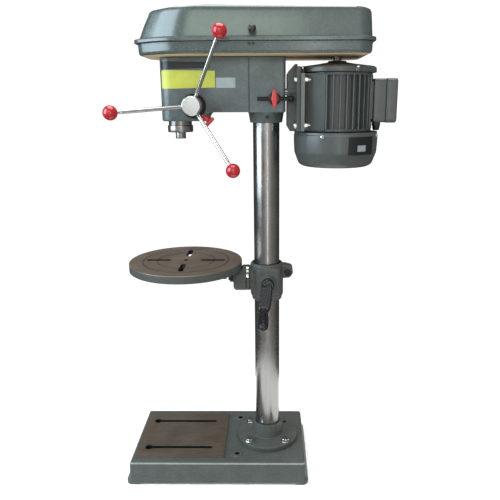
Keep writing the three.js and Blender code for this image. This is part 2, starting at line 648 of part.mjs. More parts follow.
function motorBracket() {
  const { x0, x1, x2, halfY, low, high, ribY } = PLATE;
  const plate = box(x1, x2, -halfY, halfY, low, high - 4);
  const rib = polygon([[x0, low + 10], [x0 + 6, low], [x1 + 1, low], [x1 + 1, high], [x1 - 3, high],
    [x0, high - 16]]);
  const ribs = [drawnY(rib, -ribY - 3, -ribY + 3), drawnY(rib, ribY - 3, ribY + 3)];
  const bosses = [-1, 1].map((s) => rodX(11.5, x0 + 4, x1 + 1, { y: s * ROD.y, z: ROD.z, sides: 20 }));
  const tools = [];
  for (const s of [-1, 1]) {
    tools.push(rodX(ROD.radius + GAP, x0 - 1, x2 - 2, { y: s * ROD.y, z: ROD.z, sides: 20 }));
    for (const z of FOOT.boltZ) tools.push(rodX(4.5, x1 - 1, x2 + 1, { y: s * FOOT.boltY, z, sides: 12 }));
  }
  return cut(join(plate, ...ribs, ...bosses), ...tools);
}

function slideRod(side) {
  const body = rodX(ROD.radius, -30, PLATE.x2 - 2.5, { y: side * ROD.y, z: ROD.z, sides: 20 });
  if (side > 0) return body;
  const gaps = rackGaps(LEVER.module, 0.5, 1.2, -8, 3).map((gap) => {
    const outline = gap.map(([along, depth]) => [LEVER.x + along, ROD.z - ROD.pitchDrop - depth]);
    return drawnY(polygon(outline), -ROD.y - 10, -ROD.y + 10);
  });
  return cut(body, ...gaps);
}

function motorFrame() {
  const { x, fin, core, bore, low, high } = MOTOR;
  const fins = 26;
  const points = [];
  for (let i = 0; i < fins; i += 1) {
    const middle = (2 * Math.PI * (i + 0.5)) / fins;
    const [thin, thick] = [1.7 / fin, 2.4 / core];
    points.push([core, middle - thick], [fin, middle - thin], [fin, middle + thin], [core, middle + thick]);
  }
  const outline = polygon(points.map(([r, a]) => [x + r * Math.cos(a), r * Math.sin(a)]));
  const ribbed = raised(outline, low + 6, high - 6);
  const endRings = [low, high - 7].map((z) => rod(core + 8, z, z + 7, { x, sides: 24 }));
  const foot = box(FOOT.face, FOOT.face + FOOT.thick, -FOOT.halfY, FOOT.halfY, low + 2, high - 2);
  const web = box(FOOT.face + 4, 112, -46, 46, low + 3, high - 3);
  const boxSeat = box(236, BOX.x0 - GAP, -36, 36, 926, 1010);
  const hollow = rod(bore, low + 10, high + 1, { x, sides: 24 });
  const shaftHole = rod(12, low - 1, low + 20, { x });
  const tools = [hollow, shaftHole];
  for (const s of [-1, 1]) {
    for (const z of FOOT.boltZ) tools.push(rodX(4.5, 70, 95, { y: s * FOOT.boltY, z, sides: 12 }));
  }
  tools.push(box(BOX.x0 - GAP, 300, -60, 60, low - 5, high + 5));
  return cut(join(ribbed, ...endRings, foot, web, boxSeat), ...tools);
}

function motorBell() {
  const { x, bell, high } = MOTOR;
  const low = high + GAP;
  const profile = [[12, low + 14], [20.3, low + 14], [20.3, low], [bell - 3, low], [bell, low + 2],
    [bell - 1, high + 11], [bell - 5, high + 14], [44, high + 22], [24, high + 26], [22, high + 28],
    [12, high + 28]];
  const lugs = [25, 115, 205, 295].map((angle) => {
    const a = THREE.MathUtils.degToRad(angle);
    const place = { x: x + 92 * Math.cos(a), y: 92 * Math.sin(a), sides: 12 };
    return rod(7.5, low, high + 13, place);
  });
  return cut(join(turned(profile, { x }), ...lugs), box(0, PLATE.x2 + 2 * GAP, -100, 100, low - 5, high + 40));
}

function fanCover() {
  const { x, cover, low } = MOTOR;
  const { floor, hole, round, wall } = FAN_COVER;
  const top = low - 1.5;
  const outer = [];
  const inner = [];
  const steps = 3;
  for (let i = 0; i <= steps; i += 1) {
    const a = (i / steps) * Math.PI / 2;
    const point = (r) => [cover - round + r * Math.sin(a), floor + round - r * Math.cos(a)];
    outer.push(point(round));
    inner.push(point(round - wall));
  }
  const profile = [[hole, floor], ...outer, [cover, top], [cover - wall, top], ...inner.reverse(),
    [hole, floor + wall]];
  return turned(profile, { x });
}

painted('motor_bracket', motorBracket());
steel('slide_rod_near', slideRod(-1));
steel('slide_rod_far', slideRod(1));
painted('motor_frame', motorFrame(), DARK);
painted('motor_bell', motorBell(), DARK);
painted('fan_cover', fanCover(), DARK);
const stator = ring(ROTOR.core + 1, MOTOR.bore - 1, ROTOR.coreLow - 2, ROTOR.coreHigh + 2, { x: MOTOR.x });
add('stator', stator, BRONZE, 0.5, 0.6);
steel('motor_bearing', ring(MOTOR.shaft + GAP, 20, MOTOR.high + 1, MOTOR.high + 13, { x: MOTOR.x }));
steel('rotor', join(
  rod(MOTOR.shaft, ROTOR.low, STEP.first + 66, { x: MOTOR.x }),
  rod(ROTOR.core, ROTOR.coreLow, ROTOR.coreHigh, { x: MOTOR.x, sides: 24 }),
));
add('motor_pulley', conePulley(STEP.motor, MOTOR.shaft + GAP, MOTOR.x), ALUMINIUM, 0.35, 0.8);

function coolingFan() {
  const { low, high, hub, tip, blades: count } = FAN;
  const core = ring(MOTOR.shaft + GAP, hub, low, high, { x: MOTOR.x, sides: 20 });
  const disc = ring(hub - 4, tip, high - 4, high, { x: MOTOR.x });
  const blades = [];
  for (let i = 0; i < count; i += 1) {
    const blade = new THREE.BoxGeometry(tip - hub + 2, 3, high - low - 8);
    blade.translate((tip + hub) / 2 - 2, 0, (low + high) / 2 + 1);
    blade.rotateZ((2 * Math.PI * i) / count);
    blade.translate(MOTOR.x, 0, 0);
    blades.push(solid(blade));
  }
  return join(core, disc, ...blades);
}

dark('cooling_fan', coolingFan());

// Terminal box on the motor's rear side: a tray, its cover and the gland under it.
const boxOutline = (grow, round) =>
  roundedRect(-BOX.halfY - grow, BOX.halfY + grow, BOX.low - grow, BOX.high + grow, round);

function terminalBox() {
  const { x0, x1, wall } = BOX;
  return cut(drawnX(boxOutline(0, 6), x0, x1), drawnX(boxOutline(-wall, 4), x0 + wall, x1 + 1));
}

function terminalCover() {
  const { x1, x2, wall } = BOX;
  return cut(drawnX(boxOutline(1, 8), x1 + GAP, x2), drawnX(boxOutline(-wall, 5), x1, x2 - wall));
}

function cableGland() {
  const { low, glandX: x } = BOX;
  const nut = rod(11, low - GAP - 8, low - GAP, { x, sides: 6 });
  const dome = rod(8, low - 20, low - 7, { x, top: 9.5, sides: 16 });
  return cut(join(nut, dome), rod(4, low - 21, low + 1, { x, sides: 12 }));
}

painted('terminal_box', terminalBox(), DARK);
painted('terminal_cover', terminalCover(), DARK);
dark('cable_gland', cableGland());

// bolts along X through the bracket plate and the motor's foot: head, shank, nut and stud end
function motorBolt() {
  const head = rodX(7.4, PLATE.x1 - GAP - 7, PLATE.x1 - GAP, { sides: 6 });
  const nutFace = FOOT.face + FOOT.thick + GAP;
  const nut = rodX(7.4, nutFace, nutFace + 7, { sides: 6 });
  return join(head, nut, rodX(4.2, PLATE.x1 - 3, nutFace + 15, { sides: 12 }));
}

const boltPlaces = [-FOOT.boltY, FOOT.boltY].flatMap((y) => FOOT.boltZ.map((z) => [y, z]));
boltPlaces.forEach(([y, z], i) => {
  const bolt = steel(`motor_bolt_${i + 1}`, motorBolt());
  bolt.position.set(0, y, z);
});

// ---------------------------------------------------------------- belt-tension lever and lock

function tensionLever() {
  const gear = drawnY(gearShape(LEVER.module, LEVER.teeth, 0.5, 1.2, Math.PI / 2), -48, -38);
  const hub = rodY(14, -68, -54 - 2 * GAP, { sides: 24 });
  const shaft = rodY(8, -56, -40, { sides: 16 });
  const bar = rodX(4.6, -40, 36, { y: -63, sides: 12 });
  const knob = new THREE.SphereGeometry(7.5, 10, 8);
  knob.translate(38, -63, 0);
  return cut(join(gear, hub, shaft, bar, solid(knob)), rodY(3 + GAP, -70, -44, { sides: 12 }));
}

const lever = new THREE.Group();
lever.position.set(LEVER.x, 0, LEVER.z);
machine.add(lever);
add('tension_lever', tensionLever(), BLACK, 0.45, 0.2, lever);

function wingKnob() {
  const stud = rodY(3, -80, -45, { sides: 12 });
  const hub = rodY(7.5, -84, -69, { sides: 16 });
  const wings = raised(roundedRect(-6, 6, -95, -74, 4), -20, 20, 4);
  return join(stud, hub, wings);
}

add('tension_lock_knob', wingKnob(), RED, 0.3, 0, lever);

// ---------------------------------------------------------------- table bracket and crank

function tableBracket() {
  const { radius, low, high, liner, sleeveLow, split } = BRACKET;
  const bore = liner + 2 * GAP;
  const barrel = turned([[bore, sleeveLow], [bore + 3, sleeveLow], [bore + 3.6, low - 8], [radius, low],
    [radius, high - 6], [radius - 3, high], [bore, high]]);
  const boss = rodY(19, -60, -30, { x: CRANK.x, z: CRANK.z });
  const cheek = raised(roundedRect(-30, 34, -48, -20, 6), 490, 556, 4);
  const neck = rodX(TILT.radius - 1, TILT.faceX + GAP, -20, { z: TILT.z, sides: 24, end: 30 });
  const disc = rodX(TILT.radius, TILT.faceX + GAP, TILT.faceX + 8, { z: TILT.z, sides: 24 });
  const lugPlan = drawnY(roundedRect(30, 67, 524, 560, 3, 14), -CLAMP.lugHalf, CLAMP.lugHalf, 5);
  const tools = [
    rod(bore, sleeveLow - 1, high + 1, { sides: 24 }),
    box(28, 70, -split, split, sleeveLow - 1, high + 1),
    rodY(CLAMP.shank + GAP, -20, 20, { x: CLAMP.x, z: CLAMP.z, sides: 12 }),
    rodY(CRANK.screw + GAP, -70, -30, { x: CRANK.x, z: CRANK.z, sides: 16 }),
    rodX(TILT.bolt + GAP, -60, -30, { z: TILT.z, sides: 16 }),
  ];
  return cut(join(barrel, boss, cheek, neck, disc, lugPlan), ...tools);
}

add('bracket_liner', ring(COLUMN.radius + GAP, BRACKET.liner, 474, 560), BRONZE, 0.4, 0.8);
painted('table_bracket', tableBracket());

// clamp bolt across the split lug: socket head, shank and nut
function clampBolt() {
  const { x, z, shank, lugHalf } = CLAMP;
  const head = rodY(8, -lugHalf - 10, -lugHalf - GAP, { x, z, sides: 16 });
  const nut = rodY(9, lugHalf + GAP, lugHalf + 9, { x, z, sides: 6 });
  return join(head, nut, rodY(shank, -lugHalf - 3, lugHalf + 11, { x, z, sides: 12 }));
}

// tilt bolt through both tilt faces, with its nut against the arm
function tiltBolt() {
  const { z, blockX, bolt, nut } = TILT;
  const shank = rodX(bolt, blockX - 14, -36, { z, sides: 16 });
  return join(shank, rodX(nut, blockX - 10, blockX - GAP, { z, sides: 6 }));
}

dark('bracket_clamp_bolt', clampBolt());
steel('tilt_bolt', tiltBolt());

function crank() {
  const hub = rodY(16.5, -80, -60 - GAP, { x: CRANK.x, z: CRANK.z });
  const screw = rodY(CRANK.screw, -62, -BRACKET.liner - 2 * GAP, { x: CRANK.x, z: CRANK.z, sides: 16 });
  const from = new THREE.Vector3(CRANK.x, -68, CRANK.z);
  const to = new THREE.Vector3(CRANK.endX, CRANK.endY, CRANK.endZ);
  const along = new THREE.Vector3().subVectors(to, from);
  const bar = new THREE.ExtrudeGeometry(roundedRect(-11, 11, -5.5, 5.5, 3), {
    depth: along.length(), bevelEnabled: false, curveSegments: 3,
  });
  bar.lookAt(along);
  bar.translate(from.x, from.y, from.z);
  const end = { x: CRANK.endX, z: CRANK.endZ };
  const eye = rodY(11, CRANK.endY - 6, CRANK.endY + 10, { ...end, sides: 20 });
  const pin = rodY(4, CRANK.gripFront - 1, CRANK.endY, { ...end, sides: 12 });
  const pinHead = rodY(8, CRANK.gripFront - 4, CRANK.gripFront - GAP, { ...end, sides: 16 });
  return join(hub, screw, solid(bar), eye, pin, pinHead);
}

dark('clamp_crank', crank());

function crankGrip() {
  const back = CRANK.endY - 6 - GAP;
  const profile = [[4.4, 0], [10, 0], [11.5, 3], [12.6, 45], [12, 80], [10, 93], [4.4, 93], [4.4, 0]];
  const geometry = new THREE.LatheGeometry(profile.map(([r, h]) => new THREE.Vector2(r, -h)), 28);
  geometry.translate(CRANK.endX, back, CRANK.endZ);
  return solid(geometry);
}

dark('crank_grip', crankGrip());

// ---------------------------------------------------------------- table and its arm

// The arm: a round block on the tilt face, a beam under the table, and the hub that it turns in.
function tableArm() {
  const x = SPINDLE_X;
  const top = TABLE.low - GAP;
  const { hub, hubLow, beamLow, hubHalf, blockHalf, ribX, ribLow } = ARM;
  const block = rodX(TILT.radius, TILT.blockX, TILT.faceX - GAP, { z: TILT.z, sides: 24 });
  const underTable = box(-400, TILT.faceX - 9.7, -60, 60, top, 700);
  const beam = raised(polygon([[x, -hubHalf], [TILT.blockX + 8, -blockHalf], [TILT.blockX + 8, blockHalf],
    [x, hubHalf]]), beamLow, top);
  const rib = box(x, ribX, -5, 5, ribLow, beamLow + 1);
  const boss = rod(hub, hubLow, top, { x, sides: 24 });
  const tools = [
    rod(TABLE.stem + GAP, 490, 560, { x, sides: 24 }),
    rodX(TILT.bolt + GAP, -90, -50, { z: TILT.z, sides: 16 }),
    rodY(TABLE_LOCK.radius + GAP, -60, -10, { x, z: TABLE_LOCK.z, sides: 12 }),
  ];
  return cut(join(cut(block, underTable), beam, rib, boss), ...tools);
}

function tableLockScrew() {
  const place = { x: SPINDLE_X, z: TABLE_LOCK.z };
  return join(rodY(TABLE_LOCK.radius, -46, -TABLE.stem - 2 * GAP, { ...place, sides: 12 }),
    rodY(8, -52, -45, { ...place, sides: 6 }));
}

function workTable() {
  const { radius, low, high, hole, stem, stemLow } = TABLE;
  const { inner, outer, width } = TABLE_SLOT;
  const place = { x: SPINDLE_X, sides: 40 };
  const rim = [[0, stemLow], [stem, stemLow], [stem, low + 8], [134, low + 8], [136, low], [radius, low],
    [radius, high - 1.5], [radius - 1.5, high], [0, high]];
  const body = turned(rim, place);
  const ribs = [45, 135].map((angle) => {
    const rib = new THREE.BoxGeometry(272, 7, 7);
    rib.rotateZ(THREE.MathUtils.degToRad(angle));
    rib.translate(SPINDLE_X, 0, low + 5);
    return solid(rib);
  });
  const tools = [rod(hole, 500, 580, { x: SPINDLE_X, sides: 16 })];
  for (let i = 0; i < 4; i += 1) {
    const geometry = new THREE.ExtrudeGeometry(slotShape(inner + width / 2, outer - width / 2, 0, width),
      { depth: 40, bevelEnabled: false, curveSegments: 2 });
    geometry.rotateZ((i * Math.PI) / 2);
    geometry.translate(SPINDLE_X, 0, low - 10);
    tools.push(solid(geometry));
  }
  return cut(join(body, ...ribs), ...tools);
}

painted('table_arm', tableArm());
add('work_table', workTable(), MACHINED, 0.4, 0.7);
dark('table_lock_screw', tableLockScrew());

// ---------------------------------------------------------------- stand on the bottom centre

machine.updateMatrixWorld(true);
const bounds = new THREE.Box3().setFromObject(machine, true);
machine.position.set(-(bounds.min.x + bounds.max.x) / 2, -(bounds.min.y + bounds.max.y) / 2, -bounds.min.z);
machine.updateMatrixWorld(true);

export default machine;
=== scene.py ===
import math

import bmesh
import bpy
from mathutils import Matrix, Vector


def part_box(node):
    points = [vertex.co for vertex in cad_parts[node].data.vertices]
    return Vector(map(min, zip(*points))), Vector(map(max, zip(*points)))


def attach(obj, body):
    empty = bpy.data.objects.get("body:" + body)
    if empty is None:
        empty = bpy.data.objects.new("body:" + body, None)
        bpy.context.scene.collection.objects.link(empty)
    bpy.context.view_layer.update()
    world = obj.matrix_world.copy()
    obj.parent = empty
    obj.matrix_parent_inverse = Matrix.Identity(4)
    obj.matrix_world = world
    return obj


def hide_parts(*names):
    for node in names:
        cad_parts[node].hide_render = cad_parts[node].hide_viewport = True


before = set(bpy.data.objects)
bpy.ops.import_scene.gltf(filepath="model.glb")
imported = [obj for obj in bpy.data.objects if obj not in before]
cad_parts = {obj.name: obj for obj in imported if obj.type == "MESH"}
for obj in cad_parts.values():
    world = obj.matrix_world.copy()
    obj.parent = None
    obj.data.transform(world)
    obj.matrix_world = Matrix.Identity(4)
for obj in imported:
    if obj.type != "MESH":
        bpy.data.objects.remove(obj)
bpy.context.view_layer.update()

# ------------------------------------------------------------------ the bench frame
# Shapes are drawn in millimetres from the column's axis on the floor, with -X towards the
# operator, -Y towards the feed handles and +Z up. place() moves them into the row frame.

MM = 0.001
_low, _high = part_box("column")
AXIS = Vector(((_low.x + _high.x) / 2, (_low.y + _high.y) / 2, 0))


def span(node):
    """Lowest and highest corner of a CAD node, in bench millimetres."""
    return [(corner - AXIS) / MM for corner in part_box(node)]


def middle(node):
    low, high = span(node)
    return (low + high) / 2


SPINDLE_X = middle("spindle").x
FEED_X, FEED_Z = middle("feed_shaft").x, middle("feed_shaft").z
MOTOR_X = middle("rotor").x
LEVER_X, LEVER_Z = middle("tension_lock_knob").x, middle("tension_lock_knob").z
TILT_Z = middle("tilt_bolt").z
HINGE = Vector((0, middle("lid_hinge_pin").y, middle("lid_hinge_pin").z))
ROD_Y, ROD_Z = 43, 989.3  # the two slide rods of the motor
CRANK_X, CRANK_Z = 3, 524  # the screw of the table's clamp crank

# ------------------------------------------------------------------ outlines


def arc(cx, cy, radius, start, end, steps):
    """Points on an arc, with angles in degrees."""
    angles = [math.radians(start + (end - start) * i / steps) for i in range(steps + 1)]
    return [(cx + radius * math.cos(a), cy + radius * math.sin(a)) for a in angles]


def fillet(corners, steps=5, closed=False):
    """A path through corners (x, y) or (x, y, radius), each rounded by its radius."""
    out = []
    count = len(corners)
    for i, corner in enumerate(corners):
        radius = corner[2] if len(corner) > 2 else 0
        here = Vector(corner[:2])
        if radius <= 0 or (not closed and i in (0, count - 1)):
            out.append(tuple(here))
            continue
        before = (Vector(corners[i - 1][:2]) - here).normalized()
        after = (Vector(corners[(i + 1) % count][:2]) - here).normalized()
        half = before.angle(after) / 2
        reach = radius / math.tan(half)
        start, end = here + before * reach, here + after * reach
        centre = here + (before + after).normalized() * (radius / math.sin(half))
        a0 = math.atan2(start.y - centre.y, start.x - centre.x)
        turn = math.atan2(end.y - centre.y, end.x - centre.x) - a0
        turn = (turn + math.pi) % (2 * math.pi) - math.pi
        for k in range(steps + 1):
            a = a0 + turn * k / steps
            out.append((centre.x + radius * math.cos(a), centre.y + radius * math.sin(a)))
    return out


def rounded_rect(x0, x1, y0, y1, low, high=None, steps=8):
    """A rectangle with rounded corners: radius low at the low-x end, high at the other."""
    high = low if high is None else high
    corners = [(x0, y0, low), (x1, y0, high), (x1, y1, high), (x0, y1, low)]
    return fillet(corners, steps, closed=True)


def circle(radius, sides=64, x=0, y=0):
    return arc(x, y, radius, 0, 360, sides)[:-1]


def inset(outline, amount):
    """The outline moved inwards; it runs anticlockwise."""
    out = []
    count = len(outline)
    for i in range(count):
        before, here, after = (Vector(outline[k % count]) for k in (i - 1, i, i + 1))
        a, b = (here - before).normalized(), (after - here).normalized()
        normal = Vector((-(a.y + b.y), a.x + b.x)).normalized()
        stretch = max(0.5, normal.dot(Vector((-b.y, b.x))))
        out.append(tuple(here + normal * (amount / stretch)))
    return out


# ------------------------------------------------------------------ meshes

TURN = {
    "z": Matrix.Identity(4),
    "y": Matrix.Rotation(math.radians(-90), 4, "X"),  # drawn +Z becomes +Y
    "x": Matrix.Rotation(math.radians(90), 4, "Y"),  # drawn +Z becomes +X
}


def to_object(bm, name, axis="z", at=(0, 0, 0)):
    """A mesh object in bench millimetres from a drawn bmesh."""
    bmesh.ops.transform(bm, matrix=Matrix.Translation(at) @ TURN[axis], verts=bm.verts)
    bmesh.ops.recalc_face_normals(bm, faces=bm.faces)
    mesh = bpy.data.meshes.new(name)
    bm.to_mesh(mesh)
    bm.free()
    piece = bpy.data.objects.new(name, mesh)
    bpy.context.scene.collection.objects.link(piece)
    return piece


def loft(name, rings, closed=False, axis="z", at=(0, 0, 0)):
    """A closed skin through rings of points: capped at both ends, or joined end to end."""
    bm = bmesh.new()
    rows = [[bm.verts.new(point) for point in ring] for ring in rings]
    count = len(rows[0])
    pairs = list(zip(rows, rows[1:] + rows[:1])) if closed else list(zip(rows, rows[1:]))
    for a, b in pairs:
        for i in range(count):
            j = (i + 1) % count
            bm.faces.new((a[i], a[j], b[j], b[i]))
    if not closed:
        bm.faces.new(rows[0])
        bm.faces.new(rows[-1])
    return to_object(bm, name, axis, at)


def lathe(name, profile, sides=64, axis="z", at=(0, 0, 0), steps=4):
    """A profile of (radius, height) or (radius, height, fillet) turned about its axis.
    It starts and ends on the axis, or it closes on itself round a bore."""
    solid = profile[0][0] == 0
    path = fillet(profile, steps, closed=not solid)
    if solid:
        path = [(r, z) for r, z in path if r > 1e-6]
    rings = [[(r * c, r * s, z) for c, s in circle(1, sides)] for r, z in path]
    return loft(name, rings, not solid, axis, at)


def peg(radius, low, high, sides=32, axis="z", at=(0, 0, 0), edge=0):
    """A plain round bar from low to high; edge rounds its rims."""
    rim = (edge,) if edge else ()
    profile = [(0, low), (radius, low, *rim), (radius, high, *rim), (0, high)]
    return lathe("peg", profile, sides, axis, at)


def turned_ring(name, inner, outer, low, high, edges=(0.5, 0.6), sides=64, axis="z",
                at=(0, 0, 0)):
    """A ring of square section; edges rounds its inner and outer rims."""
    near, far = edges
    profile = [(inner, low, near), (outer, low, far), (outer, high, far), (inner, high, near)]
    return lathe(name, profile, sides, axis, at)


def prism(name, outline, low, high, edge=1.0, axis="z", at=(0, 0, 0), steps=3):
    """An outline raised from low to high, with its end edges rounded."""
    rings = []
    for end, way in ((low, 1), (high, -1)):
        turns = range(steps + 1) if way > 0 else range(steps, -1, -1)
        for k in turns:
            a = math.radians(90 * k / steps)
            amount, rise = edge * (1 - math.sin(a)), edge * (1 - math.cos(a))
            rings.append([(x, y, end + way * rise) for x, y in inset(outline, amount)])
    return loft(name, rings, False, axis, at)


def box(name, x0, x1, y0, y1, z0, z1, edge=0.5):
    return prism(name, [(x0, y0), (x1, y0), (x1, y1), (x0, y1)], z0, z1, edge)


def side_prism(name, outline, y0, y1, edge=1.0):
    """An outline in (x, z) drawn out along Y."""
    flipped = [(x, -z) for x, z in reversed(outline)]
    return prism(name, flipped, y0, y1, edge, axis="y")


def ball(name, radius, at, sides=40):
    bm = bmesh.new()
    bmesh.ops.create_uvsphere(bm, u_segments=sides, v_segments=sides * 5 // 8, radius=radius)
    return to_object(bm, name, "z", at)


def aim(piece, start, end):
    """Turns a piece drawn along +Z from the origin so that it runs from start towards end."""
    start, end = Vector(start), Vector(end)
    turn = (end - start).to_track_quat("Z", "Y").to_matrix().to_4x4()
    piece.data.transform(Matrix.Translation(start) @ turn)
    return piece


def moved(piece, x=0.0, y=0.0, z=0.0, turn=None):
    """The piece turned about the origin, then moved."""
    matrix = Matrix.Translation((x, y, z))
    piece.data.transform(matrix @ turn if turn else matrix)
    return piece


def spin(degrees, axis="Z"):
    return Matrix.Rotation(math.radians(degrees), 4, axis)


def applied(piece):
    """The piece with its modifiers made real."""
    graph = bpy.context.evaluated_depsgraph_get()
    mesh = bpy.data.meshes.new_from_object(piece.evaluated_get(graph))
    piece.modifiers.clear()
    old = piece.data
    piece.data = mesh
    bpy.data.meshes.remove(old)
    return piece


def combine(piece, others, operation):
    """Joins the others to the piece (UNION) or cuts them from it (DIFFERENCE)."""
    for other in others:
        modifier = piece.modifiers.new("combine", "BOOLEAN")
        modifier.operation = operation
        modifier.object = other
        modifier.solver = "MANIFOLD"
    applied(piece)
    for other in others:
        bpy.data.objects.remove(other)
    return piece


def join(piece, *others):
    return combine(piece, others, "UNION")


def cut(piece, *others):
    return combine(piece, others, "DIFFERENCE")


def bevel(piece, width, angle=50, segments=3):
    modifier = piece.modifiers.new("bevel", "BEVEL")
    modifier.width = width
    modifier.segments = segments
    modifier.limit_method = "ANGLE"
    modifier.angle_limit = math.radians(angle)
    modifier.use_clamp_overlap = True
    modifier.harden_normals = False
    return applied(piece)


def cast(piece, voxel, passes, keep=0.35):
    """Melts a joined solid into one skin with soft inner and outer corners, as sand casting does."""
    remesh = piece.modifiers.new("skin", "REMESH")
    remesh.mode = "VOXEL"
    remesh.voxel_size = voxel
    soften = piece.modifiers.new("soften", "SMOOTH")
    soften.factor = 0.5
    soften.iterations = passes
    thin = piece.modifiers.new("thin", "DECIMATE")
    thin.ratio = keep
    return applied(piece)


def merge(name, pieces):
    """Several separate shells as one piece."""
    bm = bmesh.new()
    for piece in pieces:
        bm.from_mesh(piece.data)
        bpy.data.objects.remove(piece)
    return to_object(bm, name)


def smooth(piece, angle=32):
    """Smooth shading that breaks at edges sharper than the angle."""
    bm = bmesh.new()
    bm.from_mesh(piece.data)
    bmesh.ops.remove_doubles(bm, verts=bm.verts, dist=1e-4)
    for face in bm.faces:
        face.smooth = True
    limit = math.radians(angle)
    for edge in bm.edges:
        edge.smooth = edge.is_manifold and edge.calc_face_angle(0) < limit
    bm.to_mesh(piece.data)
    bm.free()


def dress(piece, *finishes):
    """Gives a piece its finishes, every face starting with the first."""
    piece.data.materials.clear()
    for finish in finishes:
        piece.data.materials.append(MATERIAL[finish])
    for face in piece.data.polygons:
        face.material_index = 0


def done(piece, body, slot, finish, *nodes, angle=32):
    """Puts a finished piece in the row frame, on its body, with its material, in place of CAD nodes."""
    smooth(piece, angle)
    piece.data.transform(Matrix.Translation(AXIS) @ Matrix.Scale(MM, 4))
    if not any(piece.data.materials):
        dress(piece, finish)
    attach(piece, body)
    if nodes:
        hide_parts(*nodes)
    return piece


# ------------------------------------------------------------------ materials


class Nodes:
    """Small helper that adds and links shader nodes."""

    def __init__(self, name):
        self.material = bpy.data.materials.new(name)
        self.material.use_nodes = True
        self.tree = self.material.node_tree
        self.shader = self.tree.nodes["Principled BSDF"]
        self.coordinates = self.add("ShaderNodeTexCoord")

    def add(self, kind, **values):
        node = self.tree.nodes.new(kind)
        for key, value in values.items():
            if hasattr(node, key):
                setattr(node, key, value)
            else:
                node.inputs[key.replace("_", " ")].default_value = value
        return node

    def link(self, source, target):
        self.tree.links.new(source, target)

    def placed(self, scale=(1, 1, 1), location=(0, 0, 0)):
        """Object coordinates, moved and stretched."""
        mapping = self.add("ShaderNodeMapping")
        mapping.inputs["Scale"].default_value = scale
        mapping.inputs["Location"].default_value = location
        self.link(self.coordinates.outputs["Object"], mapping.inputs["Vector"])
        return mapping.outputs["Vector"]

    def noise(self, vector, scale, detail=4.0, roughness=0.55):
        node = self.add("ShaderNodeTexNoise", Scale=scale, Detail=detail, Roughness=roughness)
        self.link(vector, node.inputs["Vector"])
        return node.outputs["Fac"]

    def ramp(self, source, stops):
        node = self.add("ShaderNodeValToRGB")
        elements = node.color_ramp.elements
        while len(elements) < len(stops):
            elements.new(0.5)
        for element, (position, colour) in zip(elements, stops):
            element.position = position
            element.color = (*colour, 1) if len(colour) == 3 else colour
        self.link(source, node.inputs["Fac"])
        return node.outputs["Color"]

    def span(self, source, low, high, out_low, out_high):
        node = self.add("ShaderNodeMapRange")
        for key, value in zip(("From Min", "From Max", "To Min", "To Max"), (low, high, out_low, out_high)):
            node.inputs[key].default_value = value
        self.link(source, node.inputs["Value"])
        return node.outputs["Result"]

    def mix(self, factor, a, b):
        """Mixes two colour outputs by a factor output or a number."""
        node = self.add("ShaderNodeMix", data_type="RGBA")
        if isinstance(factor, (int, float)):
            node.inputs["Factor"].default_value = factor
        else:
            self.link(factor, node.inputs["Factor"])
        self.link(a, node.inputs[6])
        self.link(b, node.inputs[7])
        return node.outputs[2]

    def bump(self, height, strength, distance, under=None):
        node = self.add("ShaderNodeBump", Strength=strength, Distance=distance)
        self.link(height, node.inputs["Height"])
        if under:
            self.link(under, node.inputs["Normal"])
        return node.outputs["Normal"]

    def finish(self, colour=None, roughness=None, normal=None, **uniform):
        for source, socket in ((colour, "Base Color"), (roughness, "Roughness"), (normal, "Normal")):
            if source is not None:
                self.link(source, self.shader.inputs[socket])
        for key, value in uniform.items():
            self.shader.inputs[key.replace("_", " ")].default_value = value
        return self.material


def shade(colour, factor):
    return tuple(min(1.0, channel * factor) for channel in colour)


def paint(name, colour, rough=0.36, hammer=0.35, grain=260.0, coat=0.25, mottle=0.35, metal=0.0,
          wear_and_highlight=0.4, cloud=0.2, specular=0.5):
    """Enamel on metal: mottled colour, hammered bumps, and sharp edges lightened as rubbing wear and painted
    highlight.
    """
    n = Nodes(name)
    plain = n.placed()
    cells = n.noise(plain, grain, 3.0, 0.5)
    broad = n.noise(plain, 34.0, 5.0)
    base = n.ramp(cells, [(0.3, shade(colour, 1 - mottle)), (0.5, colour), (0.72, shade(colour, 1 + mottle))])
    tint = n.ramp(broad, [(0.3, shade(colour, 1 - cloud)), (0.7, shade(colour, 1 + cloud))])
    mixed = n.mix(0.45, base, tint)
    geometry = n.add("ShaderNodeNewGeometry")
    # rubbing wear and painted highlight: where pointiness is high the paint takes a lighter tone
    edge = n.span(geometry.outputs["Pointiness"], 0.54, 0.62, 0.0, wear_and_highlight)
    rubbed_and_highlight = n.ramp(cells, [(0.0, shade(colour, 2.2)), (1.0, shade(colour, 3.2))])
    worn_and_highlit = n.mix(edge, mixed, rubbed_and_highlight)
    rough_map = n.span(cells, 0.3, 0.75, rough - 0.07, rough + 0.1)
    normal = n.bump(cells, hammer, 0.0006)
    return n.finish(worn_and_highlit, rough_map, normal, Metallic=metal, Coat_Weight=coat, Coat_Roughness=0.18,
                    Specular_IOR_Level=specular)


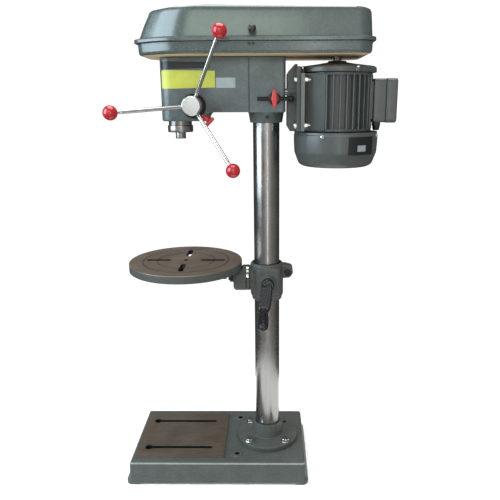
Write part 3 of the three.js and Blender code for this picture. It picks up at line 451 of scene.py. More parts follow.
def ground(name, colour, centre=None, stretch=(1, 1, 1), rough=0.38, metal=0.85):
    """Machined metal: turned rings about a vertical centre, or straight marks by stretching."""
    n = Nodes(name)
    if centre is None:
        marks = n.noise(n.placed(stretch), 90.0, 6.0, 0.65)
    else:
        moved = n.placed((1, 1, 0), (-centre.x, -centre.y, 0))
        length = n.add("ShaderNodeVectorMath", operation="LENGTH")
        n.link(moved, length.inputs[0])
        joined = n.add("ShaderNodeCombineXYZ")
        n.link(length.outputs["Value"], joined.inputs["X"])
        marks = n.noise(joined.outputs["Vector"], 260.0, 7.0, 0.72)
    broad = n.noise(n.placed(), 14.0, 5.0, 0.6)
    stain = n.noise(n.placed(), 45.0, 6.0, 0.7)
    fine = n.ramp(marks, [(0.3, shade(colour, 0.55)), (0.7, shade(colour, 1.6))])
    large = n.ramp(broad, [(0.3, shade(colour, 0.7)), (0.7, shade(colour, 1.22))])
    spots = n.ramp(stain, [(0.35, shade(colour, 0.75)), (0.62, shade(colour, 1.1))])
    mixed = n.mix(0.3, n.mix(0.5, fine, large), spots)
    rough_map = n.span(broad, 0.3, 0.7, rough - 0.08, rough + 0.1)
    normal = n.bump(marks, 0.22, 0.0002)
    return n.finish(mixed, rough_map, normal, Metallic=metal)


def steel(name, colour, rough=0.22, stretch=(1, 1, 0.03), marks=1400.0, variation=0.16, metal=1.0):
    """Bright metal with fine directional marks."""
    n = Nodes(name)
    lines = n.noise(n.placed(stretch), marks, 3.0, 0.6)
    broad = n.noise(n.placed(), 22.0, 4.0)
    fine = n.ramp(lines, [(0.3, shade(colour, 1 - variation)), (0.7, shade(colour, 1 + variation))])
    large = n.ramp(broad, [(0.3, shade(colour, 0.88)), (0.7, shade(colour, 1.1))])
    rough_map = n.span(broad, 0.3, 0.7, max(0.02, rough - 0.05), rough + 0.06)
    normal = n.bump(lines, 0.08, 0.0001)
    return n.finish(n.mix(0.5, fine, large), rough_map, normal, Metallic=metal)


def moulded(name, colour, rough=0.3, grain=500.0, relief=0.1, coat=0.0, metal=0.0):
    """Moulded plastic, rubber or blacked metal: fine grain and faint cloudy colour."""
    n = Nodes(name)
    fine = n.noise(n.placed(), grain, 3.0)
    broad = n.noise(n.placed(), 30.0, 3.0)
    base = n.ramp(broad, [(0.3, shade(colour, 0.82)), (0.7, shade(colour, 1.18))])
    dots = n.ramp(fine, [(0.35, shade(colour, 0.85)), (0.7, shade(colour, 1.2))])
    rough_map = n.span(fine, 0.3, 0.7, max(0.02, rough - 0.05), rough + 0.08)
    normal = n.bump(fine, relief, 0.0002)
    return n.finish(n.mix(0.35, base, dots), rough_map, normal, Metallic=metal, Coat_Weight=coat,
                    Coat_Roughness=0.08)


GREEN = (0.056, 0.062, 0.057)
TABLE_CENTRE = (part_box("work_table")[0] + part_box("work_table")[1]) / 2
MATERIAL = {
    # painted highlight: a lighter tone of the green enamel for the light line along the base's top edges
    "edge": paint("rubbed_enamel", shade(GREEN, 3.2), rough=0.35, hammer=0.2, coat=0.0),
    "casting": paint("casting_enamel", GREEN, rough=0.45, hammer=0.4, coat=0.0, specular=0.25),
    "head": paint("head_enamel", (0.062, 0.08, 0.08), rough=0.34, hammer=0.55, grain=330.0, mottle=0.5,
                  cloud=0.6),
    "guard": paint("guard_enamel", (0.07, 0.09, 0.084), rough=0.24, hammer=0.04, grain=180.0, coat=0.6,
                   mottle=0.12, metal=0.25, wear_and_highlight=0.0),
    "motor": paint("motor_enamel", (0.05, 0.057, 0.055), rough=0.36, hammer=0.18, grain=400.0, mottle=0.25),
    "table_top": ground("table_ground_face", (0.23, 0.18, 0.14), TABLE_CENTRE, rough=0.36, metal=0.7),
    "pad": ground("pad_ground_face", (0.105, 0.083, 0.062), None, (0.25, 3, 1), rough=0.42, metal=0.5),
    "column": steel("column_ground_steel", (0.33, 0.32, 0.305), 0.24, (1, 1, 0.02), 900.0, 0.2),
    "steel": steel("bright_steel_marks", (0.3, 0.295, 0.28), 0.28, (1, 1, 1), 700.0, 0.18),
    "zinc": steel("zinc_plated_steel", (0.68, 0.68, 0.66), 0.22, (1, 1, 1), 500.0, 0.15),
    "chrome": steel("polished_steel_skin", (0.62, 0.61, 0.6), 0.1, (1, 1, 1), 300.0, 0.05),
    "cap": steel("brushed_cap", (0.74, 0.75, 0.75), 0.3, (1, 1, 1), 600.0, 0.12),
    "dark_steel": moulded("black_oxide_steel", (0.022, 0.023, 0.024), 0.34, 600.0, 0.12, metal=0.6),
    # black moulding for the black parts; also used as painted shade in the holes, slots and grooves of the castings
    # and the table
    "black": moulded("black_moulding", (0.012, 0.012, 0.013), 0.3, 700.0, 0.08),
    "crank": moulded("black_enamel_crank", (0.006, 0.0065, 0.008), 0.26, 350.0, 0.03, coat=0.3),
    "red": moulded("red_moulding", (0.33, 0.008, 0.014), 0.16, 200.0, 0.03, coat=0.5),
    "red_knob": moulded("red_knob_moulding", (0.4, 0.02, 0.02), 0.3, 400.0, 0.08, coat=0.2),
    "aluminium": steel("turned_aluminium", (0.62, 0.62, 0.6), 0.3, (1, 1, 1), 900.0, 0.12),
    "bronze": steel("bronze_bush", (0.42, 0.27, 0.11), 0.3, (1, 1, 0.1), 700.0, 0.12),
    "rubber": moulded("belt_rubber_skin", (0.013, 0.013, 0.013), 0.62, 900.0, 0.3),
    "underside_tan": moulded("tan_primer", (0.56, 0.42, 0.25), 0.5, 300.0, 0.1),
    "yellow_plate": moulded("yellow_plate_print", (0.4, 0.42, 0.05), 0.4, 500.0, 0.03),
    "pale_plate": moulded("pale_plate_print", (0.27, 0.32, 0.33), 0.35, 500.0, 0.03, metal=0.3),
    "black_plate": moulded("black_plate_print", (0.008, 0.008, 0.009), 0.35, 500.0, 0.03),
    "floor": moulded("pale_floor", (0.95, 0.95, 0.95), 0.8, 3.0, 0.0),
}

# ------------------------------------------------------------------ base and column

PAD = (-352, -115, 107)  # the machined pad: front, rear and half its width
SLOT_Y = 65
NO_LIMIT = 1e9
BOSS_X, BOSS_Y = -80, 89


def base():
    low, high = span("base_casting")
    flare, foot, crown = 7.5, 34.0, 57.0
    outline = rounded_rect(low.x, high.x, low.y, high.y, 15.5)
    steps = [(0.6, 0), (0, 0.8), (0, 8.5), (0.5, 10), (2.2, 12.5), (4.8, 16.5), (6.7, 21.5), (flare, 27),
             (flare + 0.7, 51.5), (flare + 1.2, 54), (flare + 2.4, 56), (flare + 4.2, crown)]
    body = loft("base", [[(x, y, z) for x, y in inset(outline, amount)] for amount, z in steps])
    x0, x1, half = PAD
    lip_outline = rounded_rect(x0 - 4, x1 + 2, -half - 4, half + 4, 6, steps=4)
    lip = prism("lip", lip_outline, crown - 3, crown + 1.4, 1.2)
    boss = [(0, crown - 8), (17, crown - 8), (15.5, crown, 3), (12.8, crown + 2, 1), (0, crown + 2)]
    bosses = [lathe("boss", boss, 40, at=(BOSS_X, y, 0)) for y in (-BOSS_Y, BOSS_Y)]
    arches = [box("arch", low.x + foot, high.x - foot, low.y - 9, high.y + 9, -5, 4),
              box("arch", low.x - 9, high.x + 9, low.y + foot, high.y - foot, -5, 4)]
    body = join(body, lip, *bosses)
    body = cut(body, *arches, *keyholes(), *base_bolt_holes())
    pad = prism("base_pad", rounded_rect(x0, x1, -half, half, 4, steps=4), crown + 0.5, high.z, 0.5)
    pad = cut(pad, *keyholes())
    # painted shade: the pad's second finish, near black, goes on its keyhole walls
    dress(pad, "pad", "black")
    dress(body, "casting", "black", "edge")
    for face in body.data.polygons:
        x, y, z = face.center
        outside = x < x0 - 5 or x > 100 or abs(y) > half + 4
        # painted highlight: the rounded top band of the base's sides, away from the pad, gets the light edge enamel
        if 54 < z < crown - 0.1 and abs(face.normal.z) < 0.95 and outside:
            face.material_index = 2
        # painted shade: the walls of the boss bolt holes get the near-black second finish
        elif math.hypot(x - BOSS_X, abs(y) - BOSS_Y) < 6.6 and abs(face.normal.z) < 0.8:
            face.material_index = 1
    # painted shade inside the keyhole slots of the pad and the base
    shade_keyhole_slots(pad, 4)
    shade_keyhole_slots(body, 20)
    done(body, "root", "hammered_paint", "casting", "base_casting")
    done(pad, "root", "machined_iron", "pad")


def shade_keyhole_slots(piece, reach):
    """Gives the walls and floors of the keyhole slots the second finish: near-black painted shade inside the slots.
    """
    for face in piece.data.polygons:
        x, y = face.center.x, abs(face.center.y)
        if PAD[0] + reach < x < PAD[1] - 4 and abs(y - SLOT_Y) < 12 and face.center.z > 15:
            face.material_index = 1 if abs(face.normal.z) < 0.9 or face.center.z < 50 else 0


def keyholes():
    """Cutters for the two long slots, each with a round mouth at its front end."""
    cutters = []
    for y in (-SLOT_Y, SLOT_Y):
        slot = rounded_rect(-322, -149, y - 5, y + 5, 4.99)
        cutters.append(prism("slot", slot, 22, 70, 0.3))
        cutters.append(peg(10, 21, 71, 40, at=(-321, y, 0)))
    return cutters


def base_bolt_holes():
    stepped = [(0, 20), (6, 20), (6, 57.6), (7, 60), (0, 60)]
    cutters = [lathe("hole", stepped, 32, at=(BOSS_X, y, 0)) for y in (-BOSS_Y, BOSS_Y)]
    return cutters + flange_holes(6.3, 30, 70)


def flange_holes(radius, low, high):
    return [peg(radius, low, high, at=(x, y, 0)) for x in (-49, 49) for y in (-49, 49)]


def flange_and_column():
    low, high = span("column_flange")
    rim = low.z + 12.7
    profile = [(32.8, low.z), (82, low.z, 1), (82, rim, 2.5), (39.6, rim, 4), (38, high.z, 1.5),
               (32.8, high.z, 0.6)]
    body = lathe("column_flange_turned", profile, 96, steps=5)
    body = cut(body, *flange_holes(6.4, 40, 90))
    done(body, "root", "hammered_paint", "casting", "column_flange")
    low, high = span("column")
    tube = [(28, low.z), (32.5, low.z, 0.5), (32.5, high.z, 1), (28, high.z, 0.5)]
    done(lathe("column_tube", tube, 96), "root", "bright_steel", "column", "column")


def hex_ring(across, z, limit, sides=72):
    """A hexagon as a ring of points, cut off by a circle of radius limit."""
    ring = []
    for i in range(sides):
        a = 2 * math.pi * i / sides
        reach = (across / 2) / math.cos((a % (math.pi / 3)) - math.pi / 6)
        reach = min(reach, limit)
        ring.append((reach * math.cos(a), reach * math.sin(a), z))
    return ring


def hex_body(name, across, low, high, chamfer=1.0):
    """A hexagon head or nut between two heights, with chamfered corners at the top."""
    corner = across / math.sqrt(3)
    flat = across / 2
    between = flat + (corner - flat) * 0.5
    levels = [(low, corner - 0.3), (low + 0.3, NO_LIMIT), (high - chamfer, corner),
              (high - chamfer * 0.45, between), (high, flat * 0.97), (high, flat * 0.8)]
    return loft(name, [hex_ring(across, z, limit) for z, limit in levels])


def flange_bolts():
    for index in (1, 2, 3):
        node = f"flange_bolt_{index}"
        low, high = span(node)
        seat = high.z - 9.3
        washer = [(0, seat), (11.5, seat, 0.3), (11.5, seat + 1.8, 0.4), (0, seat + 1.8)]
        shank = [(0, low.z), (5.9, low.z, 0.8), (5.9, seat + 0.2), (0, seat + 0.2)]
        bolt = merge(f"flange_bolt_piece_{index}", [lathe("washer", washer, 40),
                                                    hex_body("head", 18, seat + 1.7, high.z, 1.4),
                                                    lathe("shank", shank, 24)])
        moved(bolt, middle(node).x, middle(node).y, 0, Matrix.Rotation(0.35 * index, 4, "Z"))
        done(bolt, "root", "bright_steel", "zinc", node)


# ------------------------------------------------------------------ head

HEAD_FRONT, HEAD_REAR, HEAD_HALF, HEAD_LOW, HEAD_STEP = -248.0, 46.0, 54.0, 943.0, -140.0
SEAM_X = -39.0


def head_outline(grow=0.0):
    return rounded_rect(HEAD_FRONT - grow, HEAD_REAR + grow, -HEAD_HALF - grow, HEAD_HALF + grow, 30 + grow,
                        8 + grow, steps=14)


def head():
    top, deep = 1067.7, 923.0
    body = prism("head", head_outline(), deep, top, 4, steps=5)
    step = fillet([(HEAD_STEP - 22, deep - 30), (HEAD_STEP, deep - 12, 1), (HEAD_STEP, HEAD_LOW, 14),
                   (90, HEAD_LOW), (90, deep - 30)], 8, closed=True)
    body = cut(body, side_prism("step", step, -90, 90, 0.3))
    collar = [(0, 918), (39, 918, 1.5), (42.7, HEAD_LOW - 3, 2), (46, HEAD_LOW + 2), (0, HEAD_LOW + 2)]
    body = join(body, lathe("collar", collar, 80))
    body = bevel(body, 2.6, 55, 4)
    cutters = [peg(32.9, 900, 1050, 80), peg(28.5, 900, 1100, 80, at=(SPINDLE_X, 0, 0))]
    for side in (-1, 1):
        edge = side * HEAD_HALF
        groove = rounded_rect(SEAM_X - 1.6, SEAM_X + 1.6, edge - 2.2, edge + 2.2, 1)
        cutters.append(prism("groove", groove, 930, 1090, 0.3))
        cutters.append(peg(7.4, -10, 60, 32, "x", (0, side * ROD_Y, ROD_Z)))
    screw_at = (3, 0, 931.5)
    cutters.append(peg(5, -60, -38, 28, "y", screw_at))
    body = cut(body, *cutters)
    done(body, "root", "hammered_paint", "head", "head_casting", angle=28)
    screw = [(0, -39.6), (2, -39.6), (2, -41, 0.2), (4.6, -41, 0.5), (4.6, -38), (0, -38)]
    done(lathe("collar_set_screw", screw, 28, "y", screw_at), "root", "dark_steel", "black")
    boss = [(10, -54.9), (30, -54.9, 0.3), (30, -53, 0.3), (10, -53)]
    done(lathe("feed_boss", boss, 64, "y", (FEED_X, 0, FEED_Z)), "root", "hammered_paint", "head")


def wrapped_plate(name, start, end, low, high, thick, finish, slot, corner=2.0):
    """A thin blank plate on the near side of the head, from x = end round to x = start."""
    path = sorted(p for p in head_outline(0.05) if p[1] < -20 and start <= p[0] <= end)
    if path and path[-1][0] < end:
        path.append((end, -HEAD_HALF - 0.05))
    if len(path) < 3:
        flat = [start, start + 0.6, start + 1.4, end - 1.4, end - 0.6, end]
        path = [(x, -HEAD_HALF - 0.05) for x in flat]
    rings = []
    total = path[-1][0] - path[0][0]
    for i, (x, y) in enumerate(path):
        before, after = path[max(0, i - 1)], path[min(len(path) - 1, i + 1)]
        along = Vector((after[0] - before[0], after[1] - before[1])).normalized()
        out = Vector((along.y, -along.x)) * thick
        reach = min(x - path[0][0], path[-1][0] - x)
        trim = corner - math.sqrt(max(0, corner**2 - (corner - min(corner, reach)) ** 2)) if total > 0 else 0
        a, b = low + trim, high - trim
        rings.append([(x, y, a), (x + out.x, y + out.y, a), (x + out.x, y + out.y, b), (x, y, b)])
    done(loft(name, rings), "root", slot, finish)


def head_plates():
    wrapped_plate("head_plate_yellow", -243, -117, 997, 1038, 0.5, "yellow_plate", "black_plastic")
    wrapped_plate("head_plate_dark", -243, -128, 1040, 1057, 0.4, "black_plate", "black_plastic")
    wrapped_plate("head_plate_pale", -115, -70, 998, 1021, 0.5, "pale_plate", "black_plastic")


# ------------------------------------------------------------------ belt guard

TRAY_FRONT, TRAY_REAR, TRAY_HALF = -290.0, 236.0, 120.0
TRAY_LOW, TRAY_HIGH = span("guard_tray")[0].z, 1094.0
LID_TOP = span("guard_lid")[1].z
KNUCKLES = ((-150, -110), (80, 120))  # the tray's parts of the hinge


def guard_outline(grow=0.0):
    """Plan of the guard: softly drawn-in front corners and rounded rear corners."""
    x0, x1, half = TRAY_FRONT - grow, TRAY_REAR + grow, TRAY_HALF + grow
    nose, cheek = 66 + grow * 0.6, -214 - grow * 0.4
    corners = [(x0, -nose, 36), (cheek, -half, 150), (x1, -half, 34 + grow), (x1, half, 34 + grow),
               (cheek, half, 150), (x0, nose, 36)]
    return fillet(corners, 10, closed=True)


def guard_ring(grow, z):
    return [(x, y, z) for x, y in guard_outline(grow)]


def guard_tray():
    wall = 2.2
    shell = [(-9, TRAY_LOW), (-5, TRAY_LOW + 0.6), (-2.2, TRAY_LOW + 2.4), (-0.6, TRAY_LOW + 5),
             (0, TRAY_LOW + 8), (0.6, TRAY_HIGH - 5.5), (0.9, TRAY_HIGH - 3.5), (1.2, TRAY_HIGH - 2),
             (1.0, TRAY_HIGH - 0.6), (0.4, TRAY_HIGH), (-wall + 0.4, TRAY_HIGH), (-wall, TRAY_HIGH - 0.6),
             (-wall, TRAY_LOW + 8), (-wall - 2, TRAY_LOW + 4.5), (-wall - 6, TRAY_LOW + 3.5)]
    tray = loft("guard_tray_shell", [guard_ring(grow, z) for grow, z in shell])
    slot = rounded_rect(113, 222, -17, 17, 16.9)
    tray = cut(tray, peg(32, 1060, 1080, 64, at=(SPINDLE_X, 0, 0)), prism("slot", slot, 1060, 1080, 0.3))
    dress(tray, "guard", "underside_tan")
    # the downward faces of the tray's floor get the tan second finish
    for face in tray.data.polygons:
        if face.normal.z < -0.9 and face.center.z < TRAY_LOW + 2:
            face.material_index = 1
    done(tray, "root", "guard_paint", "guard", "guard_tray")
    for index, (start, end) in enumerate(KNUCKLES, 1):
        barrel = turned_ring("barrel", 3.3, 5.9, start, end, (0.4, 0.8), 32, "x", HINGE)
        leaf = box("leaf", start, end, TRAY_HALF + 1, HINGE.y - 3.4, HINGE.z - 16, HINGE.z - 2, 0.6)
        done(merge(f"tray_knuckle_{index}", [barrel, leaf]), "root", "guard_paint", "guard")
    low, high = span("lid_hinge_pin")
    pin = [(0, low.x), (2.9, low.x, 0.6), (2.9, high.x, 0.6), (0, high.x)]
    done(lathe("hinge_pin", pin, 24, "x", HINGE), "root", "bright_steel", "steel", "lid_hinge_pin")
    for index, x in enumerate((-35, -26), 1):
        tab = box(f"lid_catch_{index}", x - 2.2, x + 2.2, -TRAY_HALF - 3.6, -TRAY_HALF - 0.8, 1086, 1091.5, 0.6)
        done(tab, "root", "dark_steel", "black")


def lid_ring(front, rear, side, z, rise, sink=0.0):
    """The guard's outline drawn in at its front, rear and sides, with a crown along its length."""
    centre_x = (TRAY_FRONT + TRAY_REAR) / 2
    half_x = (TRAY_REAR - TRAY_FRONT) / 2
    ring = []
    for x, y in guard_outline():
        u = (x - centre_x) / half_x
        draw = front if u < 0 else rear
        new_x = centre_x + (x - centre_x) * (half_x - draw) / half_x
        new_y = y * (TRAY_HALF - side) / TRAY_HALF
        crown = 1 - abs((new_x - centre_x) / half_x) ** 2
        ring.append((new_x, new_y, z + rise * crown - sink))
    return ring


def guard_lid():
    edge = 1161.0
    crown = LID_TOP - edge - 2.5
    levels = [(3, 0.5, 0.8, 1105, 0), (5.5, 0.9, 1.6, 1110, 0), (15, 2.2, 4.2, edge - 28, 3),
              (25, 3.5, 7, edge - 9, 6), (26.5, 4.4, 7.8, edge - 5, 7), (28.5, 6.5, 9.5, edge - 1.5, 7.5),
              (32, 11, 13, edge + 0.6, 8.5), (50, 26, 32, edge + 2, 10.5), (66, 44, 46, edge + 2.4, crown * 0.96),
              (90, 72, 60, edge + 2.5, crown), (180, 170, 95, edge + 2.5, crown)]
    rim_low, thick = 1094.5, 2.0
    rim = [(6.8, 0), (8, 1.2), (8, 6.4), (7.2, 8), (5.6, 8.6), (2.2, 8.9)]
    outer = [guard_ring(grow, rim_low + rise) for grow, rise in rim] + [lid_ring(*level) for level in levels]
    inner = [lid_ring(f + thick, r + thick, s + thick, z, rise, thick) for f, r, s, z, rise in reversed(levels)]
    inner += [guard_ring(-thick, rim_low + 6), guard_ring(-thick + 0.3, rim_low)]
    lid = loft("guard_lid_shell", [*inner, *outer])
    notches = [box("notch", start - 2, end + 2, TRAY_HALF - 4, TRAY_HALF + 20, rim_low - 3, HINGE.z + 9, 0.2)
               for start, end in KNUCKLES]
    done(cut(lid, *notches), "lid", "guard_paint", "guard", "guard_lid", angle=24)
    for index, start in enumerate((-167, -107, 63, 123), 1):
        lug = turned_ring(f"lid_lug_{index}", 3.3, 5.4, start, start + 14, (0.4, 0.8), 32, "x", HINGE)
        done(lug, "lid", "guard_paint", "guard")


def lid_knob():
    low, high = span("lid_knob")
    x, z = (low.x + high.x) / 2, (low.z + high.z) / 2
    profile = [(0, high.y), (4, high.y, 0.3), (4, high.y - 7, 1), (5.2, high.y - 8.2, 1), (8.9, high.y - 13, 4),
               (8.9, low.y + 4, 4.5), (4.5, low.y, 3), (0, low.y)]
    knob = lathe("lid_knob_turned", profile, 48, "y", (x, 0, z), steps=6)
    done(knob, "lid", "black_plastic", "black", "lid_knob")


# ------------------------------------------------------------------ quill, spindle and drive


def quill():
    low, high = span("quill")
    at = (SPINDLE_X, 0, 0)
    profile = [(14, low.z + 16), (20, low.z + 16), (20, low.z, 0.5), (28, low.z, 1.2), (28, high.z, 1),
               (20, high.z, 0.5), (20, high.z - 16), (14, high.z - 16)]
    tube = lathe("quill_tube", profile, 96, at=at)
    pitch = 2 * math.pi
    root, tip = SPINDLE_X + 24.6, SPINDLE_X + 29
    gaps = []
    for tooth in range(-2, 12):
        z = FEED_Z + (tooth + 0.5) * pitch
        gap = [(root, z - 1.1), (tip, z - 2.7), (tip, z + 2.7), (root, z + 1.1)]
        gaps.append(side_prism("gap", gap, -19, 19, 0.1))
    done(cut(tube, merge("gaps", gaps)), "quill", "bright_steel", "steel", "quill")
    low, high = span("quill_collar")
    collar = [(28.2, low.z, 0.3), (30.2, low.z, 0.8), (30.7, low.z + 5, 0.5), (30.7, high.z, 1.4),
              (28.2, high.z, 0.3)]
    done(lathe("quill_collar_ring", collar, 96, at=at), "quill", "bright_steel", "steel", "quill_collar")
    bearing("quill_bearing_lower", 10.4, 19.8, SPINDLE_X, "quill")
    bearing("quill_bearing_upper", 10.4, 19.8, SPINDLE_X, "quill")
    low, high = span("spindle")
    nose = [(0, low.z + 38), (5, low.z + 38, 1), (7, low.z, 0.4), (12.5, low.z, 1.2), (12.5, low.z + 15, 0.6),
            (10, low.z + 17, 0.5), (10, 1035.5, 0.5), (8.8, 1036.5, 0.4), (8.8, high.z, 1), (0, high.z)]
    done(lathe("spindle_turned", nose, 64, at=at), "spindle", "bright_steel", "steel", "spindle")


def bearing(node, inner, outer, x, body, inner_edge=0.5):
    """The ring that stands for a ball bearing."""
    low, high = span(node)
    race = turned_ring(f"{node}_race", inner, outer, low.z, high.z, (inner_edge, 0.6), at=(x, 0, 0))
    done(race, body, "bright_steel", "steel", node)


def cone_pulley(name, node, bore, x, body, sleeve=None):
    """A stepped pulley with a V-groove in each step; sleeve is the foot of its long hub."""
    top = span(node)[1].z
    radii, pitch = CONE[node], 17.0
    first = top - pitch * len(radii)
    profile = [(bore, first, 0.3)]
    if sleeve is not None:
        profile = [(bore, sleeve, 0.3), (16.8, sleeve, 0.6), (16.8, first, 1)]
    for i, radius in enumerate(radii):
        z = first + i * pitch
        profile += [(radius - 0.4, z, 0.6), (radius, z + 2, 0.4), (radius - 9, z + 6.2, 0.5),
                    (radius - 9, z + 10.8, 0.5), (radius, z + pitch - 2, 0.4)]
    profile.append((bore, top, 0.3))
    done(lathe(name, profile, 96, at=(x, 0, 0), steps=2), body, "cast_aluminium", "aluminium", node)


CONE = {"spindle_pulley": (65, 58, 51, 44), "motor_pulley": (24, 31, 38, 45)}


def belt_outline(inset_by):
    """The loop round both pulleys on the second step."""
    a = CONE["spindle_pulley"][1] - inset_by
    b = CONE["motor_pulley"][1] - inset_by
    lean = math.degrees(math.asin((b - a) / (MOTOR_X - SPINDLE_X)))
    return arc(SPINDLE_X, 0, a, 90 + lean, 270 - lean, 48) + arc(MOTOR_X, 0, b, -90 - lean, 90 + lean, 48)


def drive():
    low, high = span("v_belt")
    section = [(1.3, low.z), (1.1, high.z), (3, high.z), (8.3, high.z - 0.6), (8.3, low.z + 0.6)]
    rings = [[(x, y, z) for x, y in belt_outline(amount)] for amount, z in section]
    done(loft("v_belt_loop", rings, closed=True), "root", "belt_rubber", "rubber", "v_belt")
    cone_pulley("spindle_cone", "spindle_pulley", 9.4, SPINDLE_X, "drive_pulley", span("spindle_pulley")[0].z)
    cone_pulley("motor_cone", "motor_pulley", 9.8, MOTOR_X, "motor_rotor")
    bearing("pulley_bearing", 17.3, 27.9, SPINDLE_X, "root")


# ------------------------------------------------------------------ feed


def feed():
    at = (FEED_X, 0, FEED_Z)
    low, high = span("feed_hub")
    back, front = high.y, low.y
    profile = [(0, back), (20.5, back, 0.6), (20.5, back - 7, 1), (22, back - 8.5, 1), (22, front + 2.2, 1.8),
               (19.6, front, 0.8), (0, front)]
    done(lathe("feed_hub_turned", profile, 80, "y", at, steps=6), "feed", "polished_steel", "cap", "feed_hub")
    low, high = span("feed_shaft")
    shaft = [(0, high.y), (8.9, high.y, 1), (8.9, low.y, 1), (0, low.y)]
    done(lathe("feed_shaft_turned", shaft, 40, "y", at), "feed", "bright_steel", "steel", "feed_shaft")
    reach = 16.0
    for index in (1, 2, 3):
        centre = middle(f"feed_ball_{index}")
        outward = Vector((centre.x - FEED_X, 0, centre.z - FEED_Z)).normalized()
        root = Vector(at) + outward * 13 + Vector((0, -92, 0))
        length = (centre - root).length
        rod = [(0, 3), (4.6, 3), (4.6, length - 24, 0.5), (4.2, length - 22, 0.5), (4.2, length - 4),
               (0, length - 4)]
        rod = aim(lathe(f"feed_rod_piece_{index}", rod, 32), root, centre)
        done(rod, "feed", "polished_steel", "chrome", f"feed_rod_{index}")
        turns = [math.radians(a) for a in range(8, 157, 6)]
        knob = [(0, -reach + 0.02), *[(reach * math.sin(a), -reach * math.cos(a)) for a in turns], (5.6, 14.9),
                (5.0, 15.6), (0, 15.6)]
        knob = aim(lathe(f"feed_ball_piece_{index}", knob, 56), centre, root)
        done(knob, "feed", "red_plastic", "red", f"feed_ball_{index}", angle=50)


def depth_stop():
    at = (FEED_X, 0, FEED_Z)
    low, high = span("depth_stop_ring")
    profile = [(9.3, high.y, 0.3), (28, high.y, 0.8), (28, low.y + 5, 0.8), (24, low.y, 0.8), (9.3, low.y, 0.3)]
    ring = lathe("depth_ring_turned", profile, 96, "y", at)
    marks = []
    for index in range(60):
        depth = 1.0 if index % 5 else 1.9
        mark = box("mark", 27.4, 28.6, high.y - 3 - depth * 2.4, high.y - 1.2, -0.32, 0.32, 0.05)
        marks.append(moved(mark, *at, spin(6 * index, "Y")))
    ring = cut(ring, merge("marks", marks))
    done(ring, "depth_ring", "dark_steel", "dark_steel", "depth_stop_ring", angle=40)
    way = Vector((1, 0, -1)).normalized()
    start = Vector(at) + Vector((0, -66, 0)) + way * 17
    stud = lathe("stud", [(0, 0), (3, 0, 0.4), (3, 18), (5.6, 19, 1), (5.6, 30, 1), (0, 30)], 32)
    aim(stud, start, start + way)
    plan = fillet([(-13, -4.4, 4), (13, -4.4, 4), (13, 4.4, 4), (-13, 4.4, 4)], 6, closed=True)
    bar = prism("bar", plan, -5, 5, 2)
    moved(bar, *(start + way * 34), spin(-45, "Y") @ spin(90, "X"))
    handle = merge("depth_lock_handle", [stud, bar])
    done(handle, "depth_lock", "red_plastic", "red_knob", "depth_lock_knob")


def return_spring():
    at = (FEED_X, 0, FEED_Z)
    low, high = span("spring_housing")
    cup = [(12, high.y - 3), (29, high.y - 3, 2), (29, low.y), (32, low.y, 0.6), (32, high.y - 4, 3),
           (27, high.y, 1.5), (12, high.y, 0.5)]
    done(lathe("spring_cup", cup, 80, "y", at, steps=5), "root", "hammered_paint", "head", "spring_housing")
    low, high = span("return_spring")
    turns, count, start, growth, thick = 3, 120, 11.7, 15, 0.8
    rings = []
    for i in range(count + 1):
        angle = (i / count) * turns * 2 * math.pi
        c, s = math.cos(angle), math.sin(angle)
        near = start + (i / count) * growth
        far = near + thick
        rings.append([(near * c, low.y, near * s), (far * c, low.y, far * s), (far * c, high.y, far * s),
                      (near * c, high.y, near * s)])
    done(loft("return_spring_strip", rings, at=at), "root", "dark_steel", "dark_steel", "return_spring")


# ------------------------------------------------------------------ motor


def motor_frame():
    low, high = span("motor_frame")
    core, tip, count = 76.0, 86.0, 34
    root, thin = 2.0 / core, 1.25 / tip
    tooth = [(core, -root), (tip - 1.2, -thin * 1.15), (tip - 0.2, -thin * 0.7), (tip, 0),
             (tip - 0.2, thin * 0.7), (tip - 1.2, thin * 1.15), (core, root)]
    outline = []
    for i in range(count):
        mid = math.radians(360 * (i + 0.5) / count)
        outline += [(MOTOR_X + r * math.cos(mid + a), r * math.sin(mid + a)) for r, a in tooth]
    ribbed = prism("frame_fins", outline, low.z + 5, high.z - 4, 0.6, steps=1)
    rings = [peg(84.5, z, z + 6.5, 96, at=(MOTOR_X, 0, 0), edge=1) for z in (low.z, high.z - 6.5)]
    shoulder = [(88, -62), (134, -80.5, 6), (150, -70), (150, 70), (134, 80.5, 6), (88, 62)]
    shoulder = fillet(shoulder, 5, closed=True)
    block = prism("block", shoulder, low.z + 2, high.z - 2, 1.5)
    foot = box("foot", low.x, low.x + 8, low.y, high.y, low.z + 2, high.z - 2, 1.2)
    seat = prism("seat", rounded_rect(236, 252, -37, 37, 1), 925, 1011, 1)
    body = join(ribbed, *rings, block, foot, seat)
    done(body, "motor_carriage", "motor_paint", "motor", "motor_frame", angle=35)


def motor_bell():
    low, high = span("motor_bell")
    z = low.z
    profile = [(84, z, 0.5), (93.6, z + 1, 1), (93.2, z + 11, 2), (89, z + 14.5, 3), (45, high.z - 7, 4),
               (23, high.z - 3, 1), (21, high.z, 1), (12, high.z, 0.5), (12, z + 1)]
    bell = lathe("motor_bell_turned", profile, 96, at=(MOTOR_X, 0, 0))
    bell = cut(bell, box("trim", -50, 80.7, -120, 120, z - 10, high.z + 10, 0.2))
    done(bell, "motor_carriage", "motor_paint", "motor", "motor_bell", angle=26)
    for index, angle in enumerate((25, 115, 205, 295), 1):
        a = math.radians(angle)
        x, y = MOTOR_X + 91 * math.cos(a), 91 * math.sin(a)
        lug = [(0, z + 0.5), (7.4, z + 0.5, 1), (7.4, z + 9, 1.5), (0, z + 9)]
        lug = lathe(f"bell_lug_{index}", lug, 32, at=(x, y, 0))
        screw = moved(hex_body(f"bell_screw_{index}", 8, z + 9, z + 12.5, 0.8), x, y)
        done(lug, "motor_carriage", "motor_paint", "motor")
        done(screw, "motor_carriage", "bright_steel", "zinc")


